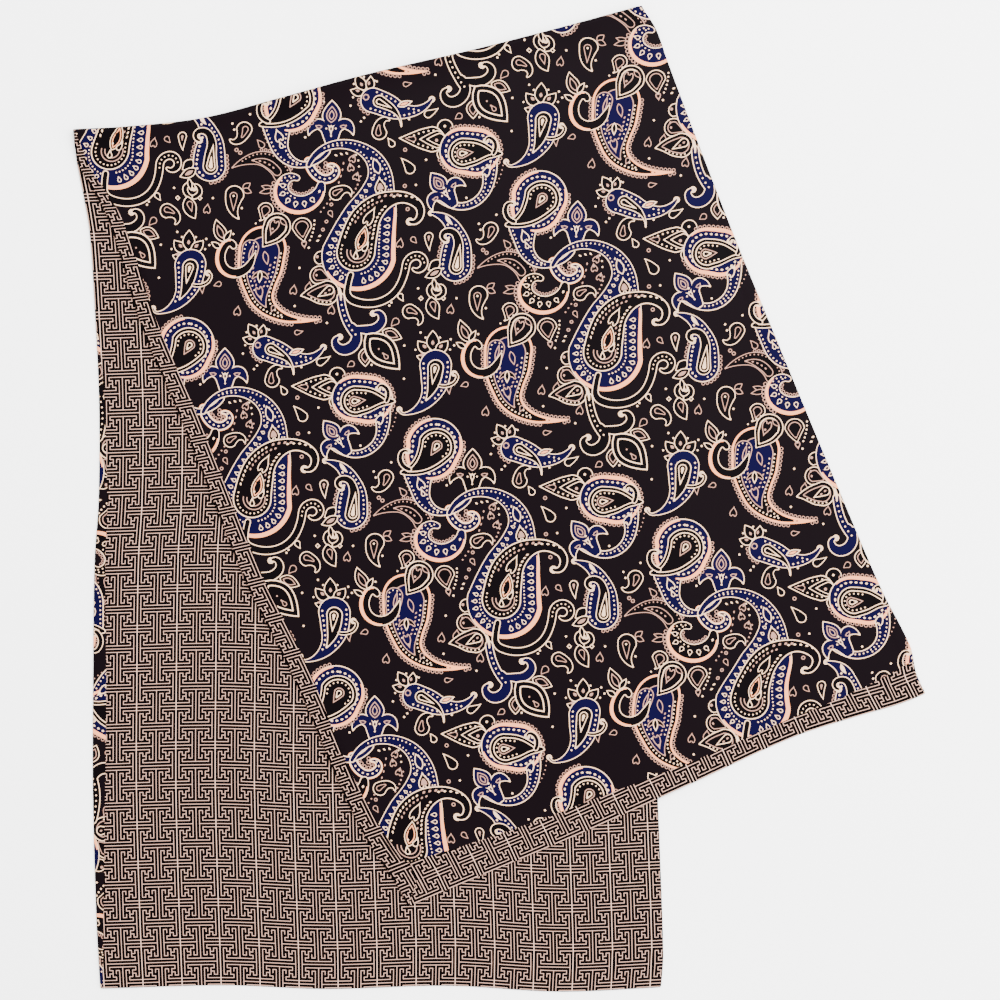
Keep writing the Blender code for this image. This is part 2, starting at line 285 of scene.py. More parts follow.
class Scarf:
    """The scarf's surface, from places on the cut cloth to places on the table."""

    def __init__(self):
        self.tilt = (2 * ROLL_RADIUS - LEG_RISE) / (SETTLE_LENGTH / 2)
        self.bend_length = ROLL_RADIUS * (math.pi + self.tilt)
        self.reach = ROLL_RADIUS + EDGE_REACH
        fold = FOLD_RIGHT - FOLD_LEFT
        self.fold_normal = fold / abs(fold) * 1j
        self.lower_left_swing = Table(LOWER_LEFT_SWING)
        self.lower_right_swing = Table(LOWER_RIGHT_SWING)
        self.upper_left_swing = Table(UPPER_LEFT_SWING)
        self.upper_right_swing = Table(UPPER_RIGHT_SWING)
        self.fold_sag = Table(FOLD_SAG)
        self.lower_hem_wave = Table(LOWER_HEM_WAVE)
        self.upper_hem_wave = Table(UPPER_HEM_WAVE)
        self.paisley_roll = Table(PAISLEY_ROLL)
        self.fret_roll = Table(FRET_ROLL)
        self.fret_end_roll = Table(FRET_END_ROLL)
        self.origin = 0.0 + 0.0j

    def lower_end(self, f):
        """Lower hem at fraction f of the width."""
        return LOWER_LEFT + (LOWER_RIGHT - LOWER_LEFT) * f - 1j * self.lower_hem_wave(f)

    def fold_line(self, f):
        """Outer line of the fold at fraction f of the width."""
        return FOLD_LEFT + (FOLD_RIGHT - FOLD_LEFT) * f - self.fold_normal * self.fold_sag(f)

    def upper_end(self, f):
        """Upper hem at fraction f of the width."""
        end = UPPER_LEFT + (UPPER_RIGHT - UPPER_LEFT) * f
        return end + unit(end - self.fold_line(f)) * self.upper_hem_wave(f)

    def bend_start(self, f):
        """Length of the lower leg, from its hem to where the roll starts."""
        return np.abs(self.fold_line(f) - self.lower_end(f)) - self.reach

    def swing(self, f, distance):
        """Sideways swing of the lower leg at a distance from its hem."""
        left = self.lower_left_swing(distance)
        return left + (self.lower_right_swing(distance) - left) * f

    def upper_swing(self, f, distance):
        """Sideways swing of the upper leg at a distance from the fold."""
        left = self.upper_left_swing(distance)
        return left + (self.upper_right_swing(distance) - left) * f

    def right_edge(self, y):
        """Where the lower leg's right edge is, at height y."""
        slope = (FOLD_RIGHT.real - LOWER_RIGHT.real) / FOLD_RIGHT.imag
        return LOWER_RIGHT.real + slope * y + self.swing(1.0, y)

    def puff(self, flat):
        """Soft undulation of the cloth that lies on the table."""
        x, y = flat.real, flat.imag
        wave = 0.5 + 0.5 * np.sin(x * 21.0 + y * 9.0 + 0.6 + 1.1 * np.sin(y * 11.0))
        wave *= 0.5 + 0.5 * np.sin(y * 17.0 - x * 8.0 + 1.9)
        return WAVE_HEIGHT * wave

    def length_seen(self, down, f):
        """Length of the cloth at a distance down the upper leg's own print."""
        f = np.clip(f, 0.0, 1.0)
        end = self.upper_end(f)
        hem = ((end - PRINT_CORNER).conjugate() * PRINT_TURN).imag
        begin = self.reach + ROLL_RADIUS * math.sin(self.tilt)
        rest = LENGTH - self.bend_start(f) - self.bend_length
        seen = np.abs(end - self.fold_line(f)) - begin
        return LENGTH - (hem - down) * rest / seen

    def cloth_place(self, seen):
        """Place on the cloth of a place of the upper leg's own print."""
        swing = 0.0
        for _ in range(3):
            place = seen - swing * PRINT_TURN / PRINT_UNIT
            w = (place.real - PRINT_LEFT) * PRINT_UNIT * PRINT_ACROSS
            f = np.clip(w / WIDTH, 0.0, 1.0)
            s = self.length_seen(place.imag * PRINT_UNIT, f)
            beyond = s - self.bend_start(f) - self.bend_length
            swing = self.upper_left_swing(beyond) * (1 - f) * PRINT_STAYS
        return w + 1j * s

    def middle(self, s, f):
        """Middle surface at length s and fraction f: flat place, and height."""
        start = self.bend_start(f)
        fold = self.fold_line(f)
        down = unit(self.lower_end(f) - fold)
        over_line = self.upper_end(f) - fold
        over = unit(over_line)
        past = s - start

        lower = fold + down * (self.reach - past) + self.swing(f, s)

        turn = np.clip(past, 0.0, self.bend_length) / ROLL_RADIUS
        share = smooth(turn / math.pi)
        inward = self.reach - ROLL_RADIUS * np.sin(turn)
        bend = fold + unit(down + (over - down) * share) * inward
        bend = bend + self.swing(f, start) * (1 - share)
        bend_lift = ROLL_RADIUS * (1 - np.cos(turn))

        rest = LENGTH - start - self.bend_length
        beyond = past - self.bend_length
        begin = self.reach + ROLL_RADIUS * math.sin(self.tilt)
        upper = fold + over * (begin + (np.abs(over_line) - begin) * beyond / rest)
        pull = smooth(1 - (rest - beyond) / CORNER_PULL_REACH) * CORNER_PULL
        upper = upper + pull * (1 - f) ** 4 + self.upper_swing(f, beyond)
        u = np.clip(beyond / SETTLE_LENGTH, 0.0, 1.0)
        top = ROLL_RADIUS * (1 + math.cos(self.tilt))
        lift = top - self.tilt * SETTLE_LENGTH * (u - u ** 3 + u ** 4 / 2)
        aside = upper.real - self.right_edge(upper.imag) - DROP_START
        lift = lift * (1 - smooth(aside / DROP_LENGTH))

        flat = np.where(past <= 0, lower, np.where(beyond <= 0, bend, upper))
        height = np.where(past <= 0, 0.0, np.where(beyond <= 0, bend_lift, lift))
        return flat, height + FLOOR_CLEARANCE + HALF_LAYER

    def place(self, s, f):
        """Middle surface in space, with the swell of what lies under it."""
        flat, height = self.middle(s, f)
        past = (s - self.bend_start(f)) / self.bend_length
        height = height + self.puff(flat) * (0.5 + 0.5 * smooth(past))
        return np.stack([flat.real, flat.imag, height], axis=-1)

    def swell(self, s, f):
        """Distance of each face of the scarf from its middle surface."""
        flat, _ = self.middle(s, f)
        past = (s - self.bend_start(f)) / self.bend_length
        inward = np.minimum.reduce([s, LENGTH - s, f * WIDTH, (1 - f) * WIDTH])
        inward = np.clip(inward, 0.0, None)
        rise, fall = SEAM_RIDGE_SLOPES
        ridge = smooth(inward / rise) * (1 - smooth((inward - SEAM_RIDGE_WIDTH) / fall))
        away = smooth(inward / WAVE_START)
        soft = 0.5 * self.puff(flat) * away * (1 - smooth(past))
        return HALF_LAYER + SEAM_RIDGE * ridge + soft

    def shell(self, s, w, sign, dip):
        """A panel's outer surface at length s and width w of its cloth.

        Past an edge the cloth goes round the rim and on over the other side.
        """
        round_w = np.where(w < 0, -w, np.where(w > WIDTH, w - WIDTH, 0.0))
        round_s = np.where(s < 0, -s, np.where(s > LENGTH, s - LENGTH, 0.0))
        round_both = np.maximum(round_w, round_s)
        over_w = np.clip(round_w - RIM_LENGTH, 0.0, None)
        over_s = np.clip(round_s - RIM_LENGTH, 0.0, None)
        on_w = np.where(w < 0, over_w, np.where(w > WIDTH, WIDTH - over_w, w))
        on_s = np.where(s < 0, over_s, np.where(s > LENGTH, LENGTH - over_s, s))
        f = on_w / WIDTH
        angle = math.pi * np.clip(round_both / RIM_LENGTH, 0.0, 1.0)

        step = 0.0002
        s0, s1 = np.clip(on_s - step, 0, None), np.clip(on_s + step, None, LENGTH)
        f0, f1 = np.clip(f - step, 0, None), np.clip(f + step, None, 1)
        lengthwise = self.place(s1, f) - self.place(s0, f)
        lengthwise /= np.linalg.norm(lengthwise, axis=-1, keepdims=True)
        across = self.place(on_s, f1) - self.place(on_s, f0)
        normal = np.cross(lengthwise, across)
        normal /= np.linalg.norm(normal, axis=-1, keepdims=True)
        across = np.cross(normal, lengthwise)

        corner = 0.0025
        out_w = np.where(w <= 0, -1.0, np.where(w >= WIDTH, 1.0, 0.0))
        out_s = np.where(s <= 0, -1.0, np.where(s >= LENGTH, 1.0, 0.0))
        near_low, near_high = smooth(1 - on_s / corner), smooth(1 - (LENGTH - on_s) / corner)
        near_left, near_right = smooth(1 - on_w / corner), smooth(1 - (WIDTH - on_w) / corner)
        lean_s = np.where(out_s != 0, out_s, near_high - near_low)
        lean_w = np.where(out_w != 0, out_w, near_right - near_left)
        out = lengthwise * lean_s[..., None] + across * lean_w[..., None]
        out /= np.maximum(np.linalg.norm(out, axis=-1, keepdims=True), 1e-9)

        half = self.swell(on_s, f) - dip
        lift = sign * half * np.cos(angle)
        bulge = RIM_BULGE * np.sin(angle)
        place = self.place(on_s, f) + normal * lift[..., None] + out * bulge[..., None]
        place[..., 0] -= self.origin.real
        place[..., 1] -= self.origin.imag
        place[..., 2] = np.maximum(place[..., 2], FLOOR_CLEARANCE)
        return place


class Panel:
    """One printed panel, cut out of flat cloth: its outline and its print.

    Places on the cloth are complex: width from the left edge, length from the lower
    hem. The seam of the two panels is given by its girth, counted from each edge: above
    nothing it lies on the paisley side, below the rim's length on the fret side.
    """

    # Distances of the mesh's rows from an edge, on both sides of its rim
    ROWS_AT_EDGE = (0.0004, 0.0009, 0.0018, 0.0034, 0.0060, 0.0095, 0.0130, 0.0180)
    ROWS_PAST_RIM = (0.0008, 0.0020, 0.0045, 0.009, 0.014, 0.020, 0.028)
    # Rows in the open cloth, and the gaps between points along a row
    INNER_START = 0.026
    INNER_ROWS = 0.0079
    INNER_GAP = 0.0083
    EDGE_GAP = 0.0047
    HEM_GAP = 0.0043
    FOLD_MARGIN = 0.002

    def __init__(self, scarf, sign, ground):
        self.scarf = scarf
        self.sign = sign
        self.inks = [ground]
        self.shapes = []

    def left_girth(self, s):
        """Girth of the seam at the left edge."""
        scarf = self.scarf
        past = s - scarf.bend_start(0.0) - scarf.bend_length
        wrapped = 1 - smooth((s - PAISLEY_ROLL_END) / PAISLEY_ROLL_FADE)
        around = RIM_LENGTH + SEAM_INSIDE + scarf.paisley_roll(s)
        below = SEAM_INSIDE - around * wrapped
        above = scarf.fret_roll(past)
        before, reach = LEFT_CHANGE
        return below + (above - below) * smooth((past + before) / reach)

    def right_girth(self, s):
        """Girth of the seam at the right edge."""
        past = s - self.scarf.bend_start(1.0)
        before, reach = RIGHT_CHANGE
        over = smooth((past + before) / reach)
        return NARROW_TURN - (RIM_LENGTH + 2 * NARROW_TURN) * over

    def edge(self, girth):
        """How far inside its edge this panel ends, for a girth of the seam."""
        return girth if self.sign > 0 else -girth - RIM_LENGTH

    def outline(self):
        """Closed outline of the panel, from its lower left corner to the right."""
        s = np.linspace(0.0, LENGTH, 420)
        f = np.linspace(0.0, 1.0, 150)
        left = self.edge(self.left_girth(s))
        right = WIDTH - self.edge(self.right_girth(s))
        low = self.edge(NARROW_TURN)
        high = self.edge(self.scarf.fret_end_roll(f))
        if self.sign > 0:
            low_left, low_right = [], [complex(right[0], low)]
            right_start = low
            top_end = self.edge(self.left_girth(LENGTH - high[0]))
            high_left = []
            left_start = LENGTH - high[0]
        else:
            low_left, low_right = [1j * low], [WIDTH + 1j * low, WIDTH + 0j]
            right_start = 0.0
            top_end = -left[-1] - RIM_LENGTH
            high_left = [
                complex(top_end, LENGTH + RIM_LENGTH + top_end),
                1j * (LENGTH + RIM_LENGTH),
                1j * LENGTH,
                complex(-RIM_LENGTH, LENGTH),
                complex(left[-1], LENGTH - top_end),
            ]
            left_start = LENGTH - top_end
        points = [complex(left[0], 0.0), 0j] + low_left
        points += [complex(x * WIDTH, low) for x in f[1:-1]] + low_right
        points += [complex(x, y) for x, y in zip(right, s) if right_start < y < LENGTH]
        points += [complex(x, LENGTH) for x in (right[-1], WIDTH)]
        points += [WIDTH + 1j * (LENGTH - high[-1])]
        top = zip(f[::-1] * WIDTH, LENGTH - high[::-1])
        points += [complex(x, y) for x, y in top if top_end < x < WIDTH] + high_left
        back = zip(left[::-1], s[::-1])
        return points + [complex(x, y) for x, y in back if 0 < y < left_start]

    def add(self, ink, points):
        """Print one shape over those already printed."""
        points = np.asarray(points)
        keep = np.abs(points - np.roll(points, 1)) > 1e-6
        points = points[keep]
        if len(points) < 3:
            return
        low, high = points.real.min(), points.real.max()
        if high < -PRINT_PAST_SIDES or low > WIDTH + PRINT_PAST_SIDES:
            return
        if points.imag.max() < -PRINT_PAST_LOW or points.imag.min() > LENGTH + PRINT_PAST_TOP:
            return
        around = np.roll(points, -1)
        area = np.sum(points.real * around.imag - around.real * points.imag)
        self.shapes.append(points if area > 0 else points[::-1])
        self.inks.append(ink)

    def support(self):
        """Rows of points that let the flat mesh follow bends, rims and folds.

        Returns loose points, and rows whose points are joined by edges.
        """
        scarf = self.scarf
        rims = [-RIM_LENGTH * k / 4 for k in range(5)]
        bands = [-RIM_LENGTH - x for x in self.ROWS_PAST_RIM] + list(self.ROWS_AT_EDGE)
        inner = list(np.arange(self.INNER_START, WIDTH - 0.024, self.INNER_ROWS))
        loose = []
        for k, x in enumerate(bands + inner + [WIDTH - x for x in bands]):
            pitch = self.INNER_GAP if inner[0] <= x <= inner[-1] else self.EDGE_GAP
            start = scarf.bend_start(min(max(x / WIDTH, 0.0), 1.0))
            y = (k % 2) * pitch / 2
            while y < LENGTH:
                past = y - start
                if not -self.FOLD_MARGIN < past < scarf.bend_length + self.FOLD_MARGIN:
                    loose.append(complex(x, y))
                y += pitch
        for k, y in enumerate(bands):
            for x in np.arange((k % 2) * 0.002, WIDTH, self.HEM_GAP):
                loose.append(complex(x, y))
                loose.append(complex(x, LENGTH - y))
        rows = []
        across = np.linspace(0.0, WIDTH, 110)
        along = np.linspace(0.0, LENGTH, 330)
        for girth in rims:
            rows.append([complex(x, girth) for x in across])
            rows.append([complex(x, LENGTH - girth) for x in across])
            rows.append([complex(girth, y) for y in along])
            rows.append([complex(WIDTH - girth, y) for y in along])
        across = np.linspace(-0.026, WIDTH + 0.026, 90)
        start = scarf.bend_start(np.clip(across / WIDTH, 0.0, 1.0))
        for past in np.linspace(0.0, scarf.bend_length, 13):
            rows.append(list(across + 1j * (start + past)))
        return loose, rows

    def mesh(self):
        """Flat mesh of the whole panel: places, faces, and the ink of each face."""
        outline = np.array(self.outline())
        loose, rows = self.support()
        corners = list(loose)
        edges = []
        for line in [outline] + self.shapes:
            first, count = len(corners), len(line)
            corners.extend(line)
            edges.extend((first + k, first + (k + 1) % count) for k in range(count))
        for row in rows:
            first = len(corners)
            corners.extend(row)
            edges.extend((first + k, first + k + 1) for k in range(len(row) - 1))
        # The triangulation works in millimetres
        flat = [Vector((p.real * 1000, p.imag * 1000)) for p in corners]
        done = delaunay_2d_cdt(flat, edges, [], 0, 1e-4, False)
        places = np.array([complex(p[0], p[1]) for p in done[0]]) * MM
        triangles = np.array([tuple(t) for t in done[2]])
        centres = places[triangles].mean(axis=1)
        kept = self.contains(outline, centres)
        return places, triangles[kept], self.ink_at(centres[kept])

    @staticmethod
    def contains(outline, points):
        """Whether each point lies inside the outline."""
        turns = np.zeros(len(points), dtype=int)
        for a, b in zip(outline, np.roll(outline, -1)):
            if a.imag == b.imag:
                continue
            between = (points.imag < a.imag) != (points.imag < b.imag)
            x = a.real + (points.imag - a.imag) * (b.real - a.real) / (b.imag - a.imag)
            turns += (between & (points.real < x)) * (1 if b.imag > a.imag else -1)
        return turns != 0

    def ink_at(self, points):
        """Index of the topmost ink at each point, the ground being ink 0."""
        cell = 0.006
        corner = complex(points.real.min(), points.imag.min())
        column = ((points.real - corner.real) / cell).astype(int)
        row = ((points.imag - corner.imag) / cell).astype(int)
        columns, rows = column.max() + 1, row.max() + 1
        order = np.argsort(row * columns + column, kind="stable")
        counts = np.bincount(row * columns + column, minlength=columns * rows)
        first = np.concatenate([[0], np.cumsum(counts)])
        top = np.zeros(len(points), dtype=int)
        for k, shape in enumerate(self.shapes):
            low = complex(shape.real.min(), shape.imag.min()) - corner
            high = complex(shape.real.max(), shape.imag.max()) - corner
            x0, x1 = max(int(low.real / cell), 0), min(int(high.real / cell), columns - 1)
            y0, y1 = max(int(low.imag / cell), 0), min(int(high.imag / cell), rows - 1)
            if x1 < x0 or y1 < y0 or high.real < 0 or high.imag < 0:
                continue
            near = [
                order[first[y * columns + x0] : first[y * columns + x1 + 1]]
                for y in range(y0, y1 + 1)
            ]
            near = np.concatenate(near)
            spots = points[near] - corner
            box = (spots.real >= low.real) & (spots.real <= high.real)
            box &= (spots.imag >= low.imag) & (spots.imag <= high.imag)
            near = near[box]
            if len(near):
                top[near[self.contains(shape, points[near])]] = k + 1
        return np.array([self.inks[k] for k in top])

    def inset(self, places):
        """Distance of places from the panel's own seam line."""
        s, w = places.imag, places.real
        left = w - self.edge(self.left_girth(s))
        right = WIDTH - self.edge(self.right_girth(s)) - w
        f = np.clip(w / WIDTH, 0.0, 1.0)
        low = s - self.edge(NARROW_TURN)
        high = LENGTH - self.edge(self.scarf.fret_end_roll(f)) - s
        return np.minimum.reduce([np.abs(left), np.abs(right), np.abs(low), np.abs(high)])

    def surface(self, places):
        """Places of the cloth's outer face in space."""
        dip = SEAM_GROOVE * (1 - smooth(self.inset(places) / SEAM_GROOVE_WIDTH))
        return self.scarf.shell(places.imag, places.real, self.sign, dip)


# The fret's chart: one quarter of its repeat, in units counted out from the centre
# of the repeat, as (across, along). The other three quarters are its mirror images
FRET_UNIT = 36.98 * MM / 12
FRET_PERIOD = 12 * FRET_UNIT
FRET_HALF_LINE = 0.00031
FRET_HALF_LONG_LINE = 0.00037
FRET_FIRST_LONG_LINE = 0.0027
FRET_FIRST_ROW = 0.0032
FRET_QUARTER_STROKES = (
    ((5, 0), (5, 4), (4, 4), (4, 3), (3, 3)),
    ((2, 3), (2, 2), (1, 2), (1, 6)),
    ((0, 1), (4, 1), (4, 2), (3, 2), (3, 4), (2, 4), (2, 5), (6, 5)),
)
FRET_WHOLE_STROKES = (
    ((-5, 0), (5, 0)),
    ((0, 1), (0, 11)),
    ((1, 6), (11, 6)),
)


def stroke(points, half):
    """Outline of a stroke that turns square corners."""
    points = [complex(*p) for p in points]
    ahead = [unit(b - a) for a, b in zip(points, points[1:])]
    ahead = [ahead[0]] + ahead + [ahead[-1]]
    one, other = [], []
    for k, p in enumerate(points):
        before, after = ahead[k], ahead[k + 1]
        side = 1j * (before + after) / (1 + (before.conjugate() * after).real)
        end = 0
        if k == 0:
            end = -before * half
        elif k == len(points) - 1:
            end = after * half
        one.append(p + side * half + end)
        other.append(p - side * half + end)
    return np.array(one + other[::-1])


def print_fret(panel):
    """The whole fret, with its long lines in the brighter ink."""
    half = FRET_HALF_LINE / FRET_UNIT
    columns = range(-2, 16)
    rows = range(-2, 46)
    for i in columns:
        for j in rows:
            x = FRET_FIRST_LONG_LINE + (i + 0.5) * FRET_PERIOD
            y = FRET_FIRST_ROW + (j + 0.5) * FRET_PERIOD
            for points in FRET_WHOLE_STROKES:
                panel.add("fret line", complex(x, y) + FRET_UNIT * stroke(points, half))
            for points in FRET_QUARTER_STROKES:
                for mirror_x in (-1, 1):
                    for mirror_y in (-1, 1):
                        turned = [(a * mirror_x, b * mirror_y) for a, b in points]
                        shape = FRET_UNIT * stroke(turned, half)
                        panel.add("fret line", complex(x, y) + shape)
    for i in columns:
        x = FRET_FIRST_LONG_LINE + i * FRET_PERIOD
        ends = ((x, -PRINT_PAST_LOW), (x, LENGTH + PRINT_PAST_TOP))
        panel.add("bright fret line", stroke(ends, FRET_HALF_LONG_LINE))


# The paisley print is drawn by construction in print units, x to the right and y
# down, one unit a little under a millimetre. Points of a drawing are written x + y j
PRINT_UNIT = 0.941 * MM
PRINT_TURN = cmath.exp(1j * math.radians(22.9))
PRINT_CORNER = -0.0889 + 0.9289j
PRINT_LEFT = 17.3
PRINT_ACROSS = 0.998

# Share of the upper leg's left swing that its print doesn't follow
PRINT_STAYS = 0.5
REPEAT_ACROSS = 187.0
REPEAT_ALONG = 188.5


def lined(depth, ground="core", edge="cream", *further):
    """Layers of a shape: its edge, its ground at a depth, and further inks and depths."""
    return ((edge, 0.0), (ground, depth)) + further


OUTLINED = lined(0.88)
BLUE = lined(0.88, "blue")
FINE = lined(0.8, "core", "pink")
FINE_BLUE = lined(1.0, "blue", "pink")
DOUBLE = lined(0.88, "core", "cream", ("pink", 3.3), ("core", 4.2))


def arcs(start, heading, runs):
    """Line made of arcs: a length and a turn in degrees for each run."""
    points = [complex(start)]
    way = cmath.exp(1j * math.radians(heading))
    for length, turn in runs:
        steps = max(2, math.ceil(length / 2.8), math.ceil(abs(turn) / 15))
        half_bend = cmath.exp(0.5j * math.radians(turn / steps))
        for _ in range(steps):
            way *= half_bend
            points.append(points[-1] + way * length / steps)
            way *= half_bend
    return np.array(points)


def travel(line):
    """Distance travelled at each point of a line."""
    return np.concatenate([[0.0], np.cumsum(np.abs(np.diff(line)))])


def along(line, at):
    """Places at given distances along a line."""
    length = travel(line)
    return np.interp(at, length, line.real) + 1j * np.interp(at, length, line.imag)


class Sweep:
    """Band along a line that swells and narrows on its way, with round ends."""

    def __init__(self, spine, half):
        self.spine = spine
        self.half = half
        self.side = unit(np.gradient(spine)) * 1j

    def outline(self, depth=0.0):
        """Closed outline at a depth inside the band."""
        inside = np.nonzero(self.half > depth + 0.1)[0]
        if len(inside) < 2:
            return np.array([])
        part = slice(inside[0], inside[-1] + 1)
        spine, side = self.spine[part], self.side[part]
        half = np.maximum(self.half[part] - depth, 0.1)
        reach = side * half
        head = self.cap(spine[-1], reach[-1])
        foot = self.cap(spine[0], -reach[0])
        return np.concatenate([spine + reach, head, (spine - reach)[::-1], foot])

    @staticmethod
    def cap(centre, reach):
        """Half round from one side of an end to the other."""
        corners = int(abs(reach) * 1.1) + (abs(reach) > 0.6)
        turns = np.arange(1, corners + 1) / (corners + 1)
        return centre + reach * np.exp(-1j * math.pi * turns)

    def rim(self, depth, begin, end):
        """Part of the outline at a depth, by distance from the middle of its foot.

        Distances run up the right-hand side, and below nothing up the left.
        """
        line = self.outline(depth)
        line = np.append(line, line[0])
        count = max(2, int(abs(end - begin) / 1.5))
        foot = math.pi / 2 * max(self.half[0] - depth, 0.0)
        at = (np.linspace(begin, end, count) - foot) % travel(line)[-1]
        return along(line, at)

    def moved(self, base, way=1.0, mirror=1):
        """The same band set at another place, turned and sized by a complex number."""
        spine = self.spine if mirror > 0 else -self.spine.conjugate()
        return Sweep(base + spine * way, self.half * abs(way))


def sweep(start, heading, half, *runs):
    """Sweep from runs of a length, a turn and the half width reached."""
    spine = arcs(start, heading, [run[:2] for run in runs])
    knots = [(0.0, half)]
    for length, _, end in runs:
        knots.append((knots[-1][0] + length, end))
    return Sweep(spine, np.maximum(Table(knots, 60)(travel(spine)), 0.05))


def inset(outline, depth):
    """Outline drawn in by a depth all round; what no longer fits is left out."""
    if not depth:
        return outline
    ahead = np.roll(outline, -1)
    area = np.sum(outline.real * ahead.imag - ahead.real * outline.imag)
    side = 1j if area > 0 else -1j
    leaving, arriving = unit(ahead - outline), unit(outline - np.roll(outline, 1))
    both = leaving + arriving
    reach = np.maximum(np.abs(both) ** 2 / 2, 0.5)
    moved = outline + side * both / reach * depth
    start, way = outline[None, :], (ahead - outline)[None, :]
    share = ((moved[:, None] - start) * way.conjugate()).real
    share = np.clip(share / np.maximum(np.abs(way) ** 2, 1e-12), 0.0, 1.0)
    clear = np.abs(moved[:, None] - start - share * way).min(axis=1)
    return moved[clear > 0.96 * depth]


def drop(tail, head, half, bend=0.0):
    """Drop from its pointed tail to its round head, its middle bent sideways."""
    way = head - tail
    size = abs(way)
    heading = math.degrees(cmath.phase(-way)) + bend
    foot = head - unit(way) * half
    long = size - half
    return sweep(foot, heading, half, (long * 0.45, -bend, half * 0.62),
                 (long * 0.55, -bend, 0.15))


def leaf(base, tip, half, bend=0.0, steps=6):
    """Leaf with two pointed ends, its middle bent sideways."""
    u = np.linspace(0.0, 1.0, 2 * steps + 1)
    swell = np.sin(math.pi * u ** 0.85) ** 0.9
    swell[0] = swell[-1] = 0.0
    way = tip - base
    spine = base + way * u + unit(way) * 1j * bend * 4 * u * (1 - u)
    side = unit(np.gradient(spine)) * 1j
    one, other = spine + side * swell * half, spine - side * swell * half
    return np.concatenate([one, other[-2:0:-1]])


def heart(notch, tip, half):
    """Heart from its notch to its tip."""
    t = np.arange(20) * math.pi / 10
    out = np.sin(t) ** 3
    fall = (13 * np.cos(t) - 5 * np.cos(2 * t) - 2 * np.cos(3 * t) - np.cos(4 * t)) / 16
    way = tip - notch
    return notch + way * (0.31 - fall) / 1.37 + unit(way) * 1j * half * out


def disc(centre, radius, corners=10):
    """Round spot."""
    turns = np.arange(corners) / corners
    return centre + radius * np.exp(2j * math.pi * turns)


def band(line, half):
    """Outline of a band of given half width along a line."""
    side = unit(np.gradient(line)) * 1j * half
    return np.concatenate([line + side, (line - side)[::-1]])


def spaced(line, gap):
    """Places and directions at even gaps along a line."""
    length = travel(line)[-1]
    count = max(1, int(round(length / gap)))
    at = (np.arange(count) + 0.5) * length / count
    return zip(along(line, at), unit(along(line, at + 0.4) - along(line, at - 0.4)))


class Drawing:
    """One repeat of the paisley print: flat shapes, each over those before it."""

    def __init__(self, blue):
        self.blue = blue
        self.shapes = []

    def fill(self, ink, outline):
        """One flat shape."""
        if isinstance(outline, Sweep):
            outline = outline.outline()
        if len(outline) > 2:
            self.shapes.append((ink, np.asarray(outline)))

    def nest(self, shapes, layers):
        """Shapes that run together, in layers, each drawn in by its own depth."""
        shapes = shapes if isinstance(shapes, (list, tuple)) else [shapes]
        for ink, depth in layers:
            for shape in shapes:
                inner = shape.outline(depth) if isinstance(shape, Sweep) else inset(shape, depth)
                self.fill(ink, inner)

    def spot(self, place, radius, ink="cream", corners=6):
        """One round spot."""
        self.fill(ink, disc(place, radius, corners))

    def beads(self, line, gap=3.9, radius=0.8, ink="cream"):
        """A row of round spots along a line."""
        for place, _ in spaced(line, gap):
            self.spot(place, radius, ink)

    def seeds(self, line, gap=5.0, length=1.9, half=1.0, lean=0.0, ink="cream"):
        """A row of seed shapes along a line."""
        for place, way in spaced(line, gap):
            way = way * cmath.exp(1j * lean) * length
            self.fill(ink, leaf(place - way, place + way, half, 0.0, 2))

    def rim_beads(self, shape, *rows):
        """Rows of beads along a rim: depth, begin and end, then gap and radius."""
        for depth, begin, end, *size in rows:
            self.beads(shape.rim(depth, begin, end), *size)

    def rim_seeds(self, shape, *rows):
        """Rows of seeds along a rim: depth, begin and end, then gap and sizes."""
        for depth, begin, end, *size in rows:
            self.seeds(shape.rim(depth, begin, end), *size)

    def scallops(self, line, gap=3.8, radius=2.0, ink="pink", inner="core"):
        """A row of small open scallops along a line."""
        for place, _ in spaced(line, gap):
            self.fill(ink, disc(place, radius, 8))
            self.fill(inner, disc(place, radius - 0.7, 6))

    def open_drops(self, line, gap, length, half, side, ink="cream", inner="blue"):
        """A row of open drops standing across a line, heads to the given side."""
        for place, way in spaced(line, gap):
            out = way * 1j * side * length / 2
            shape = drop(place - out, place + out, half)
            self.nest(shape, ((ink, 0.0), (inner, 0.8)))

    def crescent(self, ink, line, most):
        """A band along a line, thick in its middle and fine at its ends."""
        share = np.sin(np.linspace(0.06, 0.94, len(line)) * math.pi) ** 0.6
        self.fill(ink, band(line, most * share))

    def eye(self, shape, ground="core"):
        """Round end of a curl: a small outlined bulb with a spot in it."""
        centre, radius = shape.spine[-1], shape.half[-1] + 1.5
        self.fill("cream", disc(centre, radius, 10))
        self.fill(ground, disc(centre, radius - 1.3, 8))

    def curl(self, shape, layers=OUTLINED):
        """A band that ends in an eye."""
        self.eye(shape, layers[-1][0])
        self.nest(shape, layers)


